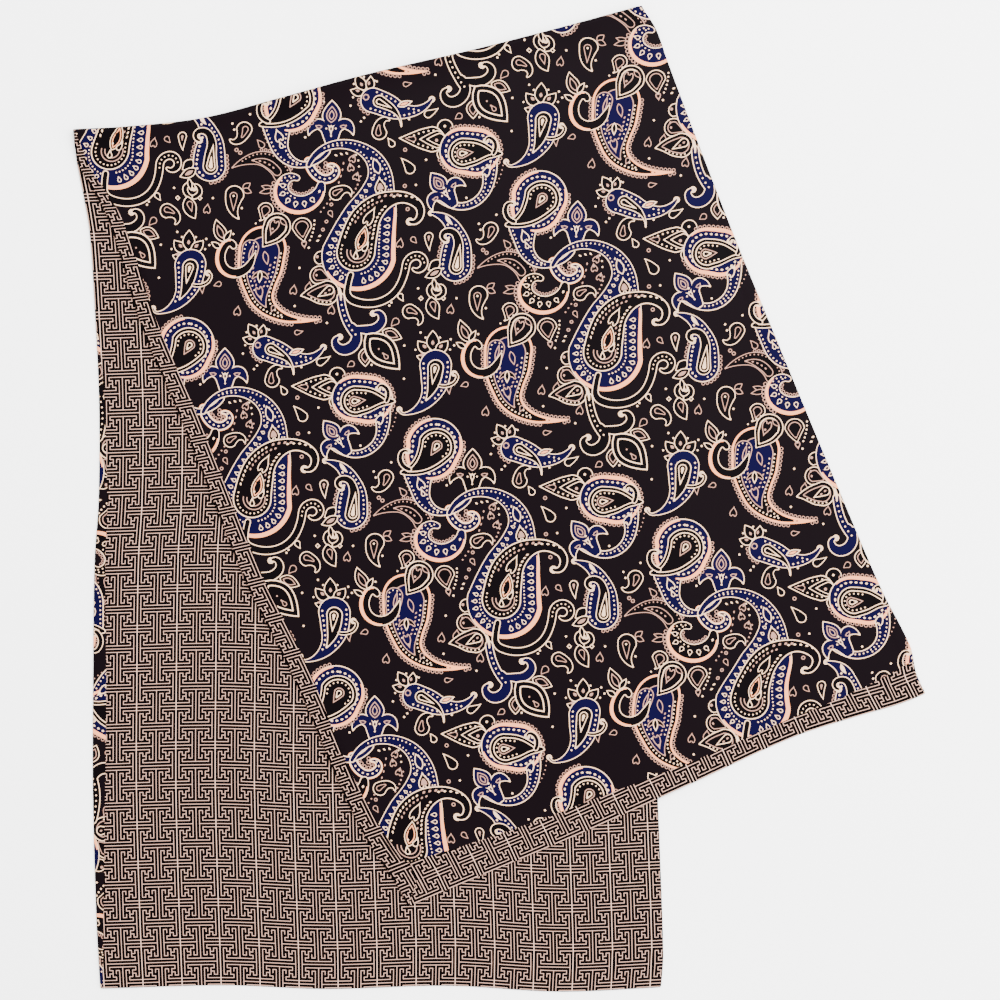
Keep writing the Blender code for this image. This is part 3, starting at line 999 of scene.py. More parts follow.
def big_paisley(pen):
    """The large paisley whose neck swings over and round into a ring."""
    body = sweep(608+355j, -79, 37, (42, 7, 26), (30, -12, 14.5), (36, -60, 7),
                 (32, -46, 4.4), (34, -56, 2.6))
    pen.nest(body, BLUE)
    pen.crescent("salmon", body.rim(1.7, -30, 108), 2.3)
    pen.open_drops(body.rim(9.5, 8, 86), 7.4, 6.4, 2.3, 1)
    pen.beads(body.rim(16.5, 6, 66), 3.5, 0.85)
    pen.open_drops(body.rim(7.4, -96, -8), 7.2, 6.0, 2.1, -1)
    pen.open_drops(body.rim(5.8, -132, -98), 6.4, 4.6, 1.8, -1)
    pen.rim_beads(body, (12.6, -76, -6, 3.5, 0.8), (10.0, -104, -80, 3.5, 0.75),
                  (3.6, 112, 168, 4.2, 0.85))
    pen.rim_seeds(body, (7.6, 124, 150, 4.8, 1.4, 0.8, 0.5),
                  (7.0, -150, -128, 4.8, 1.4, 0.8, 0.5))
    pen.rim_beads(body, (3.6, 170, 236, 4.4, 0.8), (3.2, -168, -136, 4.0, 0.8))
    pen.nest(leaf(624+276j, 618+260j, 4.0), lined(1.0, "blue"))
    pen.nest(heart(626+291j, 624+278j, 5.8), lined(1.0, "core", "cream", ("pink", 2.6)))
    pen.beads(arcs(635+307j, 170, [(20, 30)]), 3.6, 0.75)
    pen.beads(arcs(638+300j, 250, [(26, -30)]), 4.0, 0.75)


def core(pen):
    """The dark drop in the big paisley, its tail hooked over to the right."""
    body = sweep(605+353j, -84, 19.5, (26, 10, 17), (22, 32, 12.5), (22, 32, 7.0),
                 (24, 52, 4.8), (17, 84, 3.6), (9, 80, 2.4))
    pen.curl(body, lined(1.15))
    pen.beads(body.rim(4.6, -30, 34), 3.9, 0.85)
    pen.rim_seeds(body, (4.8, 36, 74, 4.4, 1.6, 0.9, 0.4), (4.8, -84, -34, 4.4, 1.6, 0.9, -0.4))
    pen.seeds(body.rim(4.2, -112, -88), 5.6, 1.8, 1.2, -0.5, ink="pink")
    pen.seeds(body.rim(8.8, -82, -44), 5.0, 1.5, 0.9, -0.4, ink="pink")
    pen.seeds(body.rim(8.6, 34, 56), 5.0, 1.5, 0.9, 0.4, ink="pink")
    pen.seeds(arcs(637+299j, -15, [(30, 44)]), 6.0, 1.6, 1.0)
    pen.nest(heart(615+322j, 622+308j, 5.0), lined(0.9))
    flame = lined(0.9, "core", "cream", ("salmon", 2.2), ("core", 3.2))
    pen.nest(leaf(606+353j, 613+327j, 6.2, 1.2), flame)
    pen.spot(610+337j, 1.5, "core", 8)
    pen.spot(607+346j, 1.1)
    for radius in (11.0, 7.4):
        cup = 607+353j + radius * np.exp(1j * np.linspace(-0.2, math.pi + 0.2, 14))
        pen.fill("pink", band(cup, 0.5))
    pen.nest(drop(605+352j, 605+361j, 2.8), lined(1.0))
    pen.nest(drop(617+343j, 612+353j, 3.0, 14), lined(1.0))


def neck_filling(pen):
    """Loose seeds and hearts in the hollow of the big paisley's neck."""
    pen.beads(arcs(584+246j, 5, [(36, 95)]), 5.6, 0.95)
    pen.beads(arcs(606+276j, 100, [(26, 25)]), 4.4, 0.95, ink="pink")
    pen.seeds(arcs(579+258j, -20, [(16, 20)]), 6.0, 1.6, 0.85, 0.8)
    for x, y, turn in ((597, 262, 0.4), (596, 271, -0.2), (601, 280, 0.3)):
        tip = complex(x, y) + cmath.exp(1j * (turn - math.pi / 2)) * 7.0
        pen.nest(heart(complex(x, y), tip, 3.6), lined(0.9, "core", "pink"))
        pen.spot(complex(x, y) * 0.6 + tip * 0.4, 0.8, "pink")
    pen.seeds(arcs(589+262j, 95, [(26, 15)]), 7.0, 1.4, 0.8, ink="pink")
    pen.beads(arcs(578+299j, 125, [(20, 0)]), 4.6, 0.9, ink="pink")
    pen.nest(drop(580+319j, 576+312j, 2.7), FINE)
    for x, y in ((574, 323), (571, 331), (578, 306)):
        pen.nest(disc(complex(x, y), 1.9, 8), lined(0.9, "core", "pink"))
    pen.seeds(arcs(569+335j, 110, [(10, 0)]), 5.0, 1.6, 0.95, 0.8)


def trefoil(pen, base, way=1.0, blue=False):
    """Crown of an onion-shaped leaf between two drooping scrolls."""
    ground = "blue" if blue else "core"
    scroll = sweep(1.5+2j, -72, 4.2, (12, -4, 4.8), (8, 42, 5.6), (8, 76, 5.2), (11, 42, 0.8))
    onion = leaf(base + (-13j) * way, base + (-41j) * way, 9.6 * abs(way))
    parts = [onion, scroll.moved(base, way), scroll.moved(base, way, -1)]
    pen.nest(parts, (("cream", 0.0), (ground, 1.0)))
    for low, high, half in ((-18j, -35j, 5.4), (-21j, -31j, 2.8)):
        pen.nest(leaf(base + low * way, base + high * way, half * abs(way)),
                 (("pink", 0.0), (ground, 1.0)))
    pen.nest(leaf(base + (-9j) * way, base + (-16j) * way, 2.1 * abs(way)),
             (("cream", 0.0), (ground, 1.0)))
    for spot in (-5j, 4.6-12.5j, -4.6-12.5j):
        pen.spot(base + spot * way, 0.95)
    for mirror in (-1, 1):
        first, last = (8.5 * mirror - 15.0j), (15.5 * mirror - 16j)
        pen.nest(leaf(base + first * way, base + last * way, 1.9, 1.2 * mirror),
                 (("pink", 0.0), (ground, 0.9)))


def ringed_bud(pen, ring, tail, bud, hook):
    """Round bud in a beaded ring, whose own tail runs on below it."""
    pen.scallops(ring.rim(-1.3, 10, 160), 4.4, 1.9)
    pen.nest([tail, ring], lined(1.05, "blue"))
    pen.crescent("salmon", ring.rim(1.5, 8, 78), 1.9)
    pen.crescent("salmon", ring.rim(1.5, 88, 150), 1.9)
    pen.seeds(ring.rim(6.2, 0, 150), 5.2, 1.5, 1.05)
    pen.rim_beads(tail, (3.4, 14, 88, 4.2, 0.85), (3.4, -62, -12, 4.2, 0.85))
    pen.nest(bud, lined(1.0, "core", "cream", ("cream", 3.6), ("core", 4.7)))
    centre, way = bud.spine[0], unit(bud.spine[3] - bud.spine[0])
    pen.nest(drop(centre + way * 10, centre - way * 7, 5.4),
             lined(1.0, "core", "pink", ("cream", 2.5), ("core", 3.6)))
    pen.beads(bud.rim(7.0, -26, 26), 4.2, 0.85)
    pen.curl(hook)


def bud_ring(pen):
    """Ringed bud whose tail runs down into the big paisley's ring."""
    ring = sweep(539+200j, 100, 28, (8, 10, 26))
    tail = sweep(524+228j, 84, 14.5, (18, -4, 9.4), (16, -36, 6.4), (20, -50, 3.2), (26, -50, 2.8))
    bud = sweep(541+201j, 118, 19, (15, 14, 13.5), (16, 24, 7), (12, 14, 2.4))
    hook = sweep(515+223j, 195, 2.6, (10, 45, 2.8), (10, 50, 2.6), (8, 100, 1.6))
    pen.beads(arcs(509+226j, 80, [(46, -45)]), 4.2, 0.7, ink="pink")
    ringed_bud(pen, ring, tail, bud, hook)
    pen.nest(heart(527+240j, 523+230j, 4.4), lined(1.0, "blue"))
    pen.nest(drop(527+243j, 530+250j, 2.3), lined(0.9, "blue"))


def volutes(pen):
    """Short curl that hangs from the ring, and a large curl with a salmon back."""
    small = sweep(555+263j, 85, 4.6, (20, -55, 4.9), (17, -85, 4.5), (14, -140, 2.2))
    pen.scallops(small.rim(-1.6, -46, -8), 4.2, 2.0)
    pen.nest(small, lined(0.5, "cream", "salmon", ("blue", 1.8)))
    pen.seeds(small.spine[1:-2], 4.9, 1.2, 0.95)
    layers = BLUE if pen.blue else OUTLINED
    large = sweep(567+287j, 94, 4.4, (20, 56, 8.4), (26, 72, 9.0), (20, 84, 5.8),
                  (14, 80, 3.2))
    pen.scallops(large.rim(-1.8, 92, 128), 4.0, 2.1)
    pen.scallops(large.rim(-1.6, 12, 46), 3.6, 1.7)
    pen.nest(large, layers)
    pen.crescent("salmon", large.rim(1.5, -96, -10), 1.9)
    pen.open_drops(large.spine[5:-6], 8.6, 6.6, 2.5, 1, "cream", layers[-1][0])
    pen.seeds(large.spine[1:5], 5.0, 1.6, 1.1)
    pen.beads(large.rim(3.4, 30, 84), 4.4, 0.8)


def collar(pen):
    """Nested petals between the large curl and the crested paisley."""
    pen.nest(drop(553+343j, 548+319j, 10.0, 8), DOUBLE)
    pen.nest(drop(509+322j, 516+304j, 8.0, -10), DOUBLE)
    pen.beads(arcs(502+326j, -40, [(20, 15)]), 4.6, 0.95)
    pen.beads(arcs(562+320j, 85, [(24, 30)]), 4.0, 1.0)
    petal = sweep(525+328j, 118, 14, (10, 4, 11), (14, 6, 0.4))
    pen.nest(petal, lined(1.0, "core", "cream", ("cream", 3.8), ("core", 5.1)))
    pen.nest(heart(523+325j, 519+337j, 5.0), lined(1.0, "core", "pink"))
    pen.spot(521+330j, 1.2, "pink")
    pen.nest(leaf(528+320j, 535+327j, 2.4), FINE)
    pen.nest(heart(553+344j, 554+350j, 2.8), lined(1.0, "core", "pink"))


def crested_paisley(pen):
    """Middle-sized paisley that sweeps to a long tip, held in a salmon hook."""
    body = sweep(512+351j, 94, 24, (22, -2, 22), (20, -12, 15), (20, -40, 8.6),
                 (24, -30, 4.2), (28, -18, 0.5))
    pen.scallops(body.rim(-1.4, -150, -34), 4.2, 1.9)
    pen.scallops(body.rim(-1.4, 36, 150), 4.2, 1.9)
    pen.nest(body, lined(2.2, "core", "salmon"))
    inner = sweep(513+354j, 94, 16.5, (22, -2, 14.5), (18, -10, 8), (16, -30, 0.5))
    pen.nest(inner, FINE_BLUE)
    pen.rim_beads(body, (5.0, -118, -30, 4.0, 0.95), (5.0, 40, 116, 4.0, 0.95))
    pen.rim_beads(inner, (3.4, -56, -22, 4.8, 0.8), (3.4, 28, 62, 4.8, 0.8))
    pen.seeds(inner.rim(7.2, -50, -24), 4.6, 1.4, 0.8, 0.5, ink="pink")
    pen.seeds(inner.rim(7.2, 24, 50), 4.6, 1.4, 0.8, 0.5, ink="pink")
    pen.nest(leaf(514+352j, 518+366j, 3.0), lined(0.9, "blue", "pink"))
    arch = sweep(504+379j, -60, 1.2, (9, 60, 3.0), (9, 60, 1.2))
    pen.nest(arch, lined(0.9, "core", "pink"))
    pen.nest(leaf(511+371j, 511+384j, 2.6), lined(1.0))
    pen.nest(heart(511+391j, 514+402j, 4.0), lined(1.0, "blue", "pink"))
    pen.nest(drop(524+413j, 527+406j, 2.6), FINE)
    pen.seeds(body.spine[-9:-2], 4.4, 1.8, 0.9, ink="salmon")
    shoulder = sweep(500+349j, 94, 8.6, (12, 20, 7), (10, 20, 0.6))
    pen.nest(shoulder, FINE_BLUE)
    pen.nest(leaf(499+361j, 503+345j, 2.0), FINE_BLUE)
    pen.beads(shoulder.rim(2.8, -18, 26), 4.4, 0.75)
    hook = sweep(483+347j, 250, 3.4, (10, -120, 4.4), (20, -60, 5.0), (18, -70, 5.0),
                 (18, -60, 4.0), (12, -15, 1.2))
    pen.nest(hook, lined(0.9))
    pen.crescent("salmon", hook.rim(1.4, 10, 66), 1.8)
    pen.nest(leaf(476+343j, 464+320j, 6.4, -2.0), DOUBLE)
    pen.nest(leaf(473+342j, 480+331j, 2.9), OUTLINED)
    pen.nest(leaf(470+349j, 460+343j, 2.9), OUTLINED)


def lace_paisley(pen):
    """Fine-lined paisley arching over to the left of the large curl."""
    arch = sweep(529+276j, 250, 9, (16, -36, 9), (18, -44, 6), (24, -26, 0.5))
    pen.scallops(arch.rim(-1.2, 16, 56), 4.2, 1.7, "pink")
    pen.nest(arch, FINE)
    inner = sweep(524+273j, 235, 4.4, (14, -30, 4.2), (14, -30, 0.5))
    pen.nest(inner, FINE)
    pen.seeds(inner.spine[1:-2], 4.6, 1.3, 0.8, ink="pink")
    pen.beads(arch.rim(2.6, 10, 66), 4.0, 0.75, ink="pink")
    for tip in (508+287j, 506+294j):
        pen.nest(leaf(521+291j, tip, 2.8), FINE)


def body_petals(pen):
    """Petals that grow from the big paisley's left side, and the leaf below them."""
    pen.nest(drop(580+362j, 564+357j, 7.0), OUTLINED)
    pen.nest(drop(585+382j, 561+373j, 9.5), DOUBLE)
    pen.spot(567+358j, 1.5, "pink", 8)
    pen.seeds(arcs(566+369j, 80, [(10, 0)]), 5.0, 1.4, 1.1, ink="pink")
    foot = sweep(578+394j, 172, 12.5, (10, 8, 9.5), (16, -16, 0.5))
    pen.nest(foot, lined(1.05, "core", "cream", ("pink", 4.0), ("core", 5.0)))
    pen.nest(drop(569+398j, 585+389j, 4.8), lined(1.0))
    pen.seeds(arcs(575+396j, -40, [(10, 0)]), 5.0, 1.5, 1.0, ink="pink")
    pen.beads(foot.rim(2.8, -34, -10), 4.2, 0.85)


def stems(pen):
    """Dark hooked stem below the big paisley, and the stem that parts in two curls."""
    ground = "blue" if pen.blue else "core"
    layers = (("cream", 0.0), (ground, 1.0))
    stem = sweep(592+398j, 84, 4.0, (18, -12, 4.2), (26, -26, 4.6))
    right = sweep(606+430j, 8, 3.4, (14, -8, 5.0), (14, -55, 4.8), (10, -75, 3.6), (8, -90, 1.8))
    left = sweep(604+427j, 48, 3.4, (12, 42, 5.4), (18, 80, 5.8), (14, 90, 3.8), (8, 100, 1.8))
    for curl in (right, left):
        pen.eye(curl, ground)
    pen.nest([stem, right, left], layers)
    for curl in (right, left):
        pen.spot(curl.spine[-1], 1.2)
    pen.beads(stem.spine, 5.4, 0.95)
    pen.crescent("cream", arcs(590+388j, 70, [(14, 20)]), 1.2)


def cane(pen):
    """Dark stem that comes out of the big paisley's foot and ends bent like a cane."""
    stem = sweep(601+376j, 105, 3.2, (16, -10, 3.4), (12, -70, 4.2), (26, -40, 4.2),
                 (28, -50, 4.0), (20, -20, 4.2), (13, 70, 4.4), (12, 85, 4.2), (11, 90, 3.2),
                 (6, 60, 2.0))
    pen.nest(stem, lined(1.0))
    pen.beads(stem.spine[-24:-8], 4.2, 0.8)


def lotus(pen):
    """Nested pointed leaf at the foot of the parting stem, with two side petals."""
    side = lined(0.9, "core", "cream", ("pink", 2.8), ("core", 3.7))
    pen.nest(leaf(633+432j, 653+440j, 6.4), side)
    pen.nest(leaf(616+449j, 617+468j, 6.6), side)
    middle = lined(1.3, "core", "cream", ("cream", 5.2), ("core", 6.5))
    pen.nest(leaf(617+435j, 651+471j, 15.0), middle)
    pen.beads(arcs(628+448j, 47, [(18, 0)]), 5.4, 0.9, ink="pink")
    pen.nest(drop(634+454j, 639+460j, 2.4), FINE)


def teardrop(pen):
    """Blue teardrop with a curl within and a half-open flower behind it."""
    body = sweep(704+367j, -86, 16.4, (18, -4, 14.5), (18, -24, 8.5), (18, -40, 4.2),
                 (12, -16, 1.4))
    pen.scallops(body.rim(-1.4, 0, 40), 4.0, 1.9)
    pen.scallops(body.rim(-1.4, -60, -34), 4.0, 1.9)
    pen.curl(body, BLUE)
    pen.fill("cream", leaf(692+317j, 700+327j, 1.8, 0.8, 3))
    pen.beads(body.rim(4.0, 4, 66), 4.4, 0.9)
    pen.seeds(body.rim(4.0, -62, -4), 4.6, 1.3, 1.1)
    inner = sweep(705+369j, -88, 7.4, (18, 4, 5.4), (14, -34, 4.0), (13, -85, 3.2),
                  (12, -150, 2.0))
    pen.curl(inner, lined(0.9))
    pen.nest(drop(708+346j, 705+373j, 4.6), lined(1.0, "core", "cream", ("cream", 2.6)))
    pen.nest(leaf(688+361j, 677+372j, 5.0, -1.0), OUTLINED)
    pen.nest(leaf(691+370j, 674+379j, 4.8, -1.0), lined(0.9, "core", "cream", ("pink", 3.0)))
    horn = sweep(0j, -5, 2.2, (8, -55, 2.8), (9, -90, 2.5), (7, -110, 1.5))
    for mirror in (1, -1):
        pen.curl(horn.moved(684+399j, cmath.exp(0.3j), mirror))
    pen.nest(leaf(683+380j, 685+393j, 2.6), OUTLINED)
    for x in (671, 693):
        pen.nest(disc(complex(x, 400), 2.6, 4), OUTLINED)
    pen.nest(leaf(681+398j, 689+421j, 7.0, 2.0), OUTLINED)
    pen.nest(drop(685+414j, 682+403j, 3.2), FINE)


def crown(pen, base, way, size=1.0, petals=3):
    """Flames and some spots standing on a paisley's head."""
    for k in range(petals):
        turn = (k - (petals - 1) / 2) * 0.85
        out = way * cmath.exp(1j * turn)
        start = base + out * 2.0 * size
        length = (17.5 - 3.5 * abs(turn)) * size
        pen.nest(leaf(start, start + out * length, (5.4 - abs(turn)) * size, 1.5 * turn), OUTLINED)
        pen.fill("pink", leaf(start + out * 5 * size, start + out * 9 * size, 1.3 * size, 0, 2))
    for turn in (-1.35, -0.42, 0.42, 1.35):
        out = way * cmath.exp(1j * turn)
        pen.spot(base + out * 14.5 * size, 1.05)


def crowned_drop(pen):
    """Paisley on its side, with a crown of flames and a tail that ends in an eye."""
    body = sweep(518+449j, 18, 12.5, (20, 8, 11), (22, -34, 5.6), (22, -50, 1.8))
    crown(pen, 512+441j, cmath.exp(-2.15j))
    pen.scallops(body.rim(-1.4, 2, 24), 4.0, 1.9)
    pen.curl(body, BLUE)
    pen.nest(leaf(542+455j, 557+450j, 3.2), lined(1.1, "blue", "cream", ("salmon", 2.0)))
    pen.nest(disc(511+446j, 3.4, 7), lined(1.1, "blue", "pink"))
    pen.rim_beads(body, (3.8, -58, -12, 5.0, 0.9), (3.8, 12, 66, 5.0, 1.0))
    hook = sweep(524+450j, 25, 6.2, (14, 8, 3.8), (12, 30, 1.6), (10, 28, 0.8))
    pen.nest(hook, lined(0.9))
    pen.nest(drop(537+457j, 521+449j, 3.0), lined(1.0))


def upright_drop(pen):
    """Upright paisley with a crown of flames and an eye at its tail."""
    crown(pen, 683+455j, -1j, 1.2, 5)
    body = sweep(686+467j, 86, 16, (18, 14, 13.5), (18, 26, 7.8), (16, 26, 3.4),
                 (10, 20, 1.6), (8, 90, 1.4))
    pen.curl(body, BLUE)
    inner = sweep(686+469j, 92, 8.2, (16, 10, 6.2), (18, 22, 1.0))
    pen.nest(inner, lined(1.0))
    pen.nest(drop(683+486j, 686+465j, 4.4), lined(0.9, "core", "cream", ("cream", 2.8)))
    pen.rim_beads(body, (3.8, 14, 58, 4.8, 1.0), (3.8, -58, -14, 4.8, 1.0))
    pen.curl(sweep(690+487j, 15, 1.8, (12, -40, 1.9), (9, -50, 1.8), (6, -100, 1.6)))


def crowned_bud(pen):
    """Ringed bud with a leaf crown to the left and a trefoil on its long tail."""
    for turn in (-0.95, 0.95):
        pen.nest(drop(590+489j, 589+489j + 21j * (1 if turn > 0 else -1), 8.0), OUTLINED)
        pen.spot(589+489j + 14j * (1 if turn > 0 else -1), 1.3)
    crown_leaf = sweep(576+488j, 182, 13, (12, 0, 9.5), (20, 0, 0.4))
    pen.nest(crown_leaf, lined(1.05))
    pen.beads(crown_leaf.rim(4.0, -40, 40), 5.0, 0.95)
    for shift, half in ((0, 9.0), (7, 6.4)):
        pen.nest(drop(564+shift+488j, 590+488j, half), lined(0.9))
    pen.nest(drop(550+487j, 561+488j, 3.0), FINE)
    pen.spot(581+489j, 1.6, "pink", 8)
    ring = sweep(607+499j, 5, 23, (14, 5, 23.5))
    tail = sweep(632+509j, 70, 10, (24, 30, 6.0), (26, 55, 4.4), (20, 45, 4.0), (14, 20, 4.8))
    bud = sweep(608+502j, -8, 15.5, (14, 6, 12.5), (14, 12, 5.6), (9, -14, 2.2))
    hook = sweep(638+502j, -60, 2.4, (9, -40, 2.5), (9, -60, 2.3), (6, -110, 1.5))
    pen.beads(arcs(648+512j, 92, [(54, 70)]), 4.6, 0.7, ink="pink")
    ringed_bud(pen, ring, tail, bud, hook)
    pen.nest(heart(631+522j, 636+512j, 4.0), lined(1.1, "blue"))
    trefoil(pen, 599+551j, cmath.exp(-0.65j) * 0.92, True)


def feather(pen):
    """Small fine paisley with two petals on its shoulder."""
    for tip in (498+284j, 499+294j):
        pen.nest(leaf(490+290j, tip, 3.0), FINE)
    shape = sweep(482+296j, 110, 9.5, (10, -20, 7), (16, -50, 0.8))
    pen.nest(shape, lined(0.9))
    pen.nest(drop(481+312j, 481+293j, 4.0), FINE)
    pen.spot(481+297j, 1.1)


def curled_drop(pen, place, way=1.0):
    """Small drop with its tail curled over."""
    shape = sweep(1+3j, -100, 9, (9, 25, 6), (8, 50, 3.6), (6, 60, 1.6)).moved(place, way)
    pen.nest(shape, lined(0.9))
    inner = sweep(0+4j, -95, 3.6, (9, 20, 1.4)).moved(place, way)
    pen.nest(inner, FINE)


SMALL_DROPS = (
    # tail, head, half width, layers
    (632+240j, 638+249j, 3.6, OUTLINED),
    (654+403j, 649+395j, 3.2, OUTLINED),
    (645+260j, 658+275j, 5.4, OUTLINED),
    (678+353j, 676+334j, 4.6, DOUBLE[:3]),
    (505+241j, 512+249j, 3.4, FINE),
    (583+457j, 569+465j, 4.2, OUTLINED),
    (556+432j, 547+434j, 2.8, FINE),
    (465+387j, 473+384j, 3.0, FINE),
    (642+428j, 649+420j, 3.8, FINE),
    (599+468j, 606+463j, 3.4, FINE),
    (665+345j, 659+339j, 3.0, FINE),
    (700+496j, 699+483j, 3.5, FINE),
)
SMALL_HEARTS = (545+393j, 560+390j, 490+414j, 583+413j, 700+413j, 648+347j)
SMALL_RINGS = (649+252j, 654+311j, 650+288j, 731+352j, 489+254j, 735+330j)
LOOSE_SPOTS = (
    480+225j, 482+231j, 497+216j, 552+239j, 609+220j, 595+208j, 661+287j, 569+204j,
    579+424j, 547+407j, 550+369j, 507+470j, 554+468j, 642+404j, 558+349j, 560+399j,
    670+262j, 712+300j, 689+290j, 706+400j, 735+410j, 668+390j, 623+466j, 655+447j,
    520+430j, 482+335j, 455+340j, 640+407j, 655+480j, 671+434j, 704+447j,
)


def scattered(pen):
    """Loose drops, hearts, rings and spots between the motifs."""
    for place, way in ((623+232j, 0.85), (584+293j, 0.8 * cmath.exp(1j)),
                       (663+413j, 0.85 * cmath.exp(1.9j)), (492+234j, 0.9 * cmath.exp(3.4j))):
        curled_drop(pen, place, way)
    for tail, head, half, layers in SMALL_DROPS:
        pen.nest(drop(tail, head, half, 8), layers)
    for place in SMALL_HEARTS:
        pen.nest(heart(place, place + 1 - 8j, 3.8), FINE)
    for place in SMALL_RINGS:
        pen.nest(disc(place, 2.1, 8), lined(0.9, "core", "pink"))
    for place in LOOSE_SPOTS:
        pen.spot(place, 1.15)


MOTIFS = (
    scattered, feather, lace_paisley, crested_paisley, collar, volutes, body_petals,
    stems, lotus, teardrop, crowned_drop, upright_drop, crowned_bud, neck_filling,
    bud_ring, big_paisley, cane, core,
)


def print_paisley(panel):
    """The whole paisley print: from repeat to repeat some motifs change their colour."""
    scarf = panel.scarf
    drawings, crowns = [Drawing(False), Drawing(True)], [Drawing(False), Drawing(True)]
    for drawing, crowning in zip(drawings, crowns):
        trefoil(crowning, 577+243j, 1.0, crowning.blue)
        for motif in MOTIFS:
            motif(drawing)
    for i in range(-12, 13):
        for j in range(-12, 13):
            shift = complex((i - j) * REPEAT_ACROSS, (i + j) * REPEAT_ALONG)
            if not (-900 < shift.real < 500 and -1500 < shift.imag < 700):
                continue
            blue_crown = i % 2 == 1 or j % 2 == 0
            shapes = crowns[blue_crown].shapes + drawings[(i + j) % 2].shapes
            outlines = [outline for _, outline in shapes]
            ends = np.cumsum([len(outline) for outline in outlines])[:-1]
            places = scarf.cloth_place(np.concatenate(outlines) * PRINT_TURN + shift)
            beyond = places.real.min() > WIDTH + PRINT_PAST_SIDES
            if beyond or places.real.max() < -PRINT_PAST_SIDES:
                continue
            for (ink, _), outline in zip(shapes, np.split(places, ends)):
                panel.add(ink, outline)


def put(node, values):
    """Set a node's inputs by their names."""
    for name, value in values.items():
        node.inputs[name].default_value = value


def silk(name, colour):
    """Printed silk twill in one ink."""
    material = bpy.data.materials.new(name)
    material.use_nodes = True
    nodes, links = material.node_tree.nodes, material.node_tree.links
    shader = nodes["Principled BSDF"]
    put(shader, {
        "Base Color": (*colour, 1),
        "Roughness": 0.46,
        "Sheen Weight": 0.004,
        "Sheen Roughness": 0.35,
        "Sheen Tint": (0.80, 0.72, 0.74, 1),
        "Specular IOR Level": 0.012,
    })
    place = nodes.new("ShaderNodeUVMap")
    place.uv_map = "OFBake"
    cloth = nodes.new("ShaderNodeMapping")
    put(cloth, {"Rotation": (0, 0, math.radians(62)), "Scale": (1.7, 1.7, 1.7)})
    twill = nodes.new("ShaderNodeTexWave")
    put(twill, {"Scale": 300.0, "Distortion": 1.5, "Detail": 1.0})
    bump = nodes.new("ShaderNodeBump")
    put(bump, {"Strength": 0.05, "Distance": 0.00005})
    links.new(place.outputs["UV"], cloth.inputs["Vector"])
    links.new(cloth.outputs["Vector"], twill.inputs["Vector"])
    links.new(twill.outputs["Fac"], bump.inputs["Height"])
    links.new(bump.outputs["Normal"], shader.inputs["Normal"])
    return material


def build_piece(name, panel, flat_mesh, chosen, inks):
    """One stretch of a panel as a smooth mesh, its print in separate inks."""
    places, triangles, face_inks = flat_mesh
    used = np.unique(triangles[chosen])
    number = np.zeros(len(places), dtype=int)
    number[used] = np.arange(len(used))
    flat = places[used]
    points = panel.surface(flat)
    step = 0.00025
    along_w = panel.surface(flat + step) - panel.surface(flat - step)
    along_s = panel.surface(flat + 1j * step) - panel.surface(flat - 1j * step)
    normals = np.cross(along_w, along_s) * -panel.sign
    normals /= np.maximum(np.linalg.norm(normals, axis=1, keepdims=True), 1e-12)
    faces = number[triangles[chosen]]
    if panel.sign > 0:
        faces = faces[:, ::-1]
    mesh = bpy.data.meshes.new(name)
    mesh.from_pydata(points.tolist(), [], faces.tolist())
    slots, order = np.unique(face_inks[chosen], return_inverse=True)
    for ink in slots:
        mesh.materials.append(inks[str(ink)])
    mesh.polygons.foreach_set("material_index", order.astype(np.int32))
    mesh.polygons.foreach_set("use_smooth", [True] * len(faces))
    layer = mesh.uv_layers.new(name="OFBake")
    corner = np.zeros(len(mesh.loops), dtype=np.int32)
    mesh.loops.foreach_get("vertex_index", corner)
    low = min(flat.real.min(), 0.0) + 1j * flat.imag.min()
    span = max((flat - low).real.max(), (flat - low).imag.max()) * 1.01
    uv = (flat - low) / span + 0.004 * (1 + 1j)
    pairs = np.stack([uv.real[corner], uv.imag[corner]], axis=-1)
    layer.data.foreach_set("uv", pairs.ravel().astype(np.float32))
    mesh.update()
    mesh.normals_split_custom_set_from_vertices(normals.tolist())
    obj = bpy.data.objects.new(name, mesh)
    bpy.context.scene.collection.objects.link(obj)
    return obj


def flat_size(places, triangles, chosen, side):
    """Width and length of the flat cloth in a piece, by its area."""
    width = WIDTH / 2 if side else WIDTH
    a, b, c = places[triangles[chosen]].T
    area = np.abs(((b - a).conjugate() * (c - a)).imag).sum() / 2
    return width, float(area) / width


INKS = {
    # printed colour, linear
    "ground": (0.0020, 0.0009, 0.0015),
    "core": (0.0011, 0.0005, 0.0008),
    "cream": (0.540, 0.345, 0.215),
    "pink": (0.235, 0.124, 0.092),
    "salmon": (0.590, 0.208, 0.092),
    "blue": (0.0012, 0.0005, 0.0120),
    "fret ground": (0.0009, 0.0003, 0.0004),
    "fret line": (0.330, 0.196, 0.150),
    "bright fret line": (0.430, 0.270, 0.205),
}

scarf = Scarf()
inks = {ink: silk("silk " + ink, colour) for ink, colour in INKS.items()}

panels = {"paisley": Panel(scarf, 1, "ground"), "fret": Panel(scarf, -1, "fret ground")}
print_fret(panels["fret"])
print_paisley(panels["paisley"])
flat_meshes = {name: panel.mesh() for name, panel in panels.items()}

# The laid-out scarf is set in the middle of the box of its solids
low, high = np.array(cad_box[0]), np.array(cad_box[1])
spans = []
for name, panel in panels.items():
    rim = panel.surface(np.array(panel.outline()))
    fold = panel.surface(flat_meshes[name][0])
    spans += [rim, fold]
spans = np.concatenate(spans)
middle = (spans.min(axis=0) + spans.max(axis=0)) / 2 - (low + high) / 2
scarf.origin = complex(middle[0], middle[1])

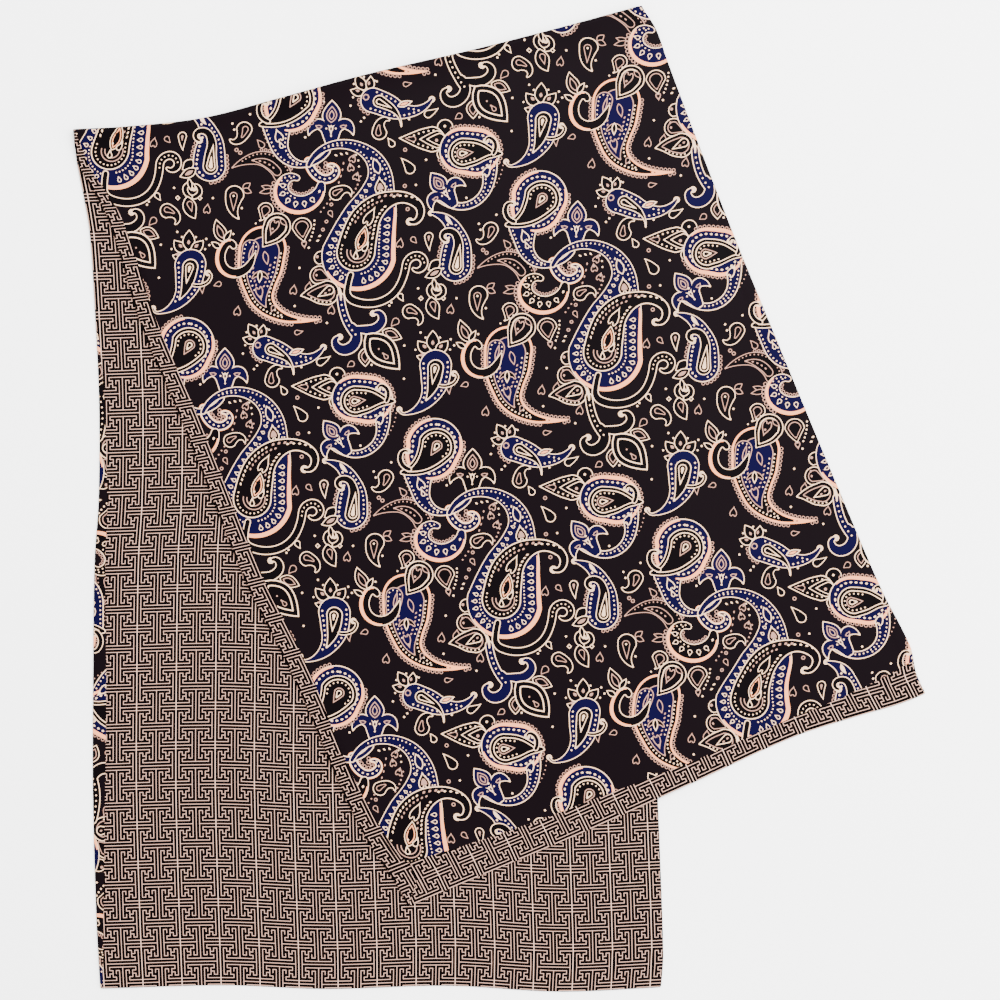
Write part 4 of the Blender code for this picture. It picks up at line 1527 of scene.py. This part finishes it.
# Each stretch of a panel becomes a piece of its own; the paisley's two are halved down
# their middle, with shared places along the cut. The paisley's stretches part just before
# the roll at the fold, the fret's just behind it
PAISLEY_SPLIT = -0.004
HOLD = {"lower": "laid", "upper": "folded"}
SIDES = {"paisley": ("left", "right"), "fret": ("",)}
for name, panel in panels.items():
    places, triangles, face_inks = flat_meshes[name]
    centres = places[triangles].mean(axis=1)
    f = np.clip(centres.real / WIDTH, 0.0, 1.0)
    past = centres.imag - scarf.bend_start(f)
    split = PAISLEY_SPLIT if panel.sign > 0 else scarf.bend_length
    for stretch, hold in HOLD.items():
        for side in SIDES[name]:
            chosen = (past > split) == (stretch == "upper")
            if side:
                chosen &= (centres.real > WIDTH / 2) == (side == "right")
            chosen = np.nonzero(chosen)[0].tolist()
            title = "_".join(part for part in (name, "silk", stretch, side) if part)
            piece = build_piece(title, panel, flat_meshes[name], chosen, inks)
            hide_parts(name + "_panel")
            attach(piece, "root")
            flat_size(places, triangles, chosen, side)

# Pale floor, soft light from a large panel overhead and a fainter one at the right
bpy.ops.mesh.primitive_plane_add(size=60.0, location=(0, 0, -0.0002))
floor = bpy.context.object
floor.name = "floor"
floor_paint = bpy.data.materials.new("floor paint")
floor_paint.use_nodes = True
put(floor_paint.node_tree.nodes["Principled BSDF"], {
    "Base Color": (0.90, 0.90, 0.90, 1),
    "Roughness": 0.9,
    "Specular IOR Level": 0.1,
})
floor.data.materials.append(floor_paint)

world = bpy.data.worlds.new("studio")
bpy.context.scene.world = world
world.use_nodes = True
put(world.node_tree.nodes["Background"], {"Color": (1, 1, 1, 1), "Strength": 3.0})

LAMPS = (
    # name, place, watts, size
    ("overhead panel", (0.9, 1.2, 2.6), 350.0, 2.4),
    ("right panel", (2.4, -0.4, 1.6), 120.0, 1.8),
)
for name, place, watts, size in LAMPS:
    light = bpy.data.lights.new(name, "AREA")
    light.energy = watts
    light.size = size
    lamp = bpy.data.objects.new(name, light)
    lamp.location = place
    lamp.rotation_euler = (-Vector(place)).to_track_quat("-Z", "Y").to_euler()
    bpy.context.scene.collection.objects.link(lamp)

# The camera looks straight down on the photo's own frame
FRAME_SPAN = 0.941
FRAME_MIDDLE = (0.0005, -0.0009)
LENS = 85.0
SENSOR = 36.0
camera_data = bpy.data.cameras.new("camera")
camera_data.lens = LENS
camera_data.sensor_width = SENSOR
camera = bpy.data.objects.new("camera", camera_data)
camera.location = (*FRAME_MIDDLE, FRAME_SPAN * LENS / SENSOR)
bpy.context.scene.collection.objects.link(camera)
bpy.context.scene.camera = camera

bpy.context.view_layer.update()
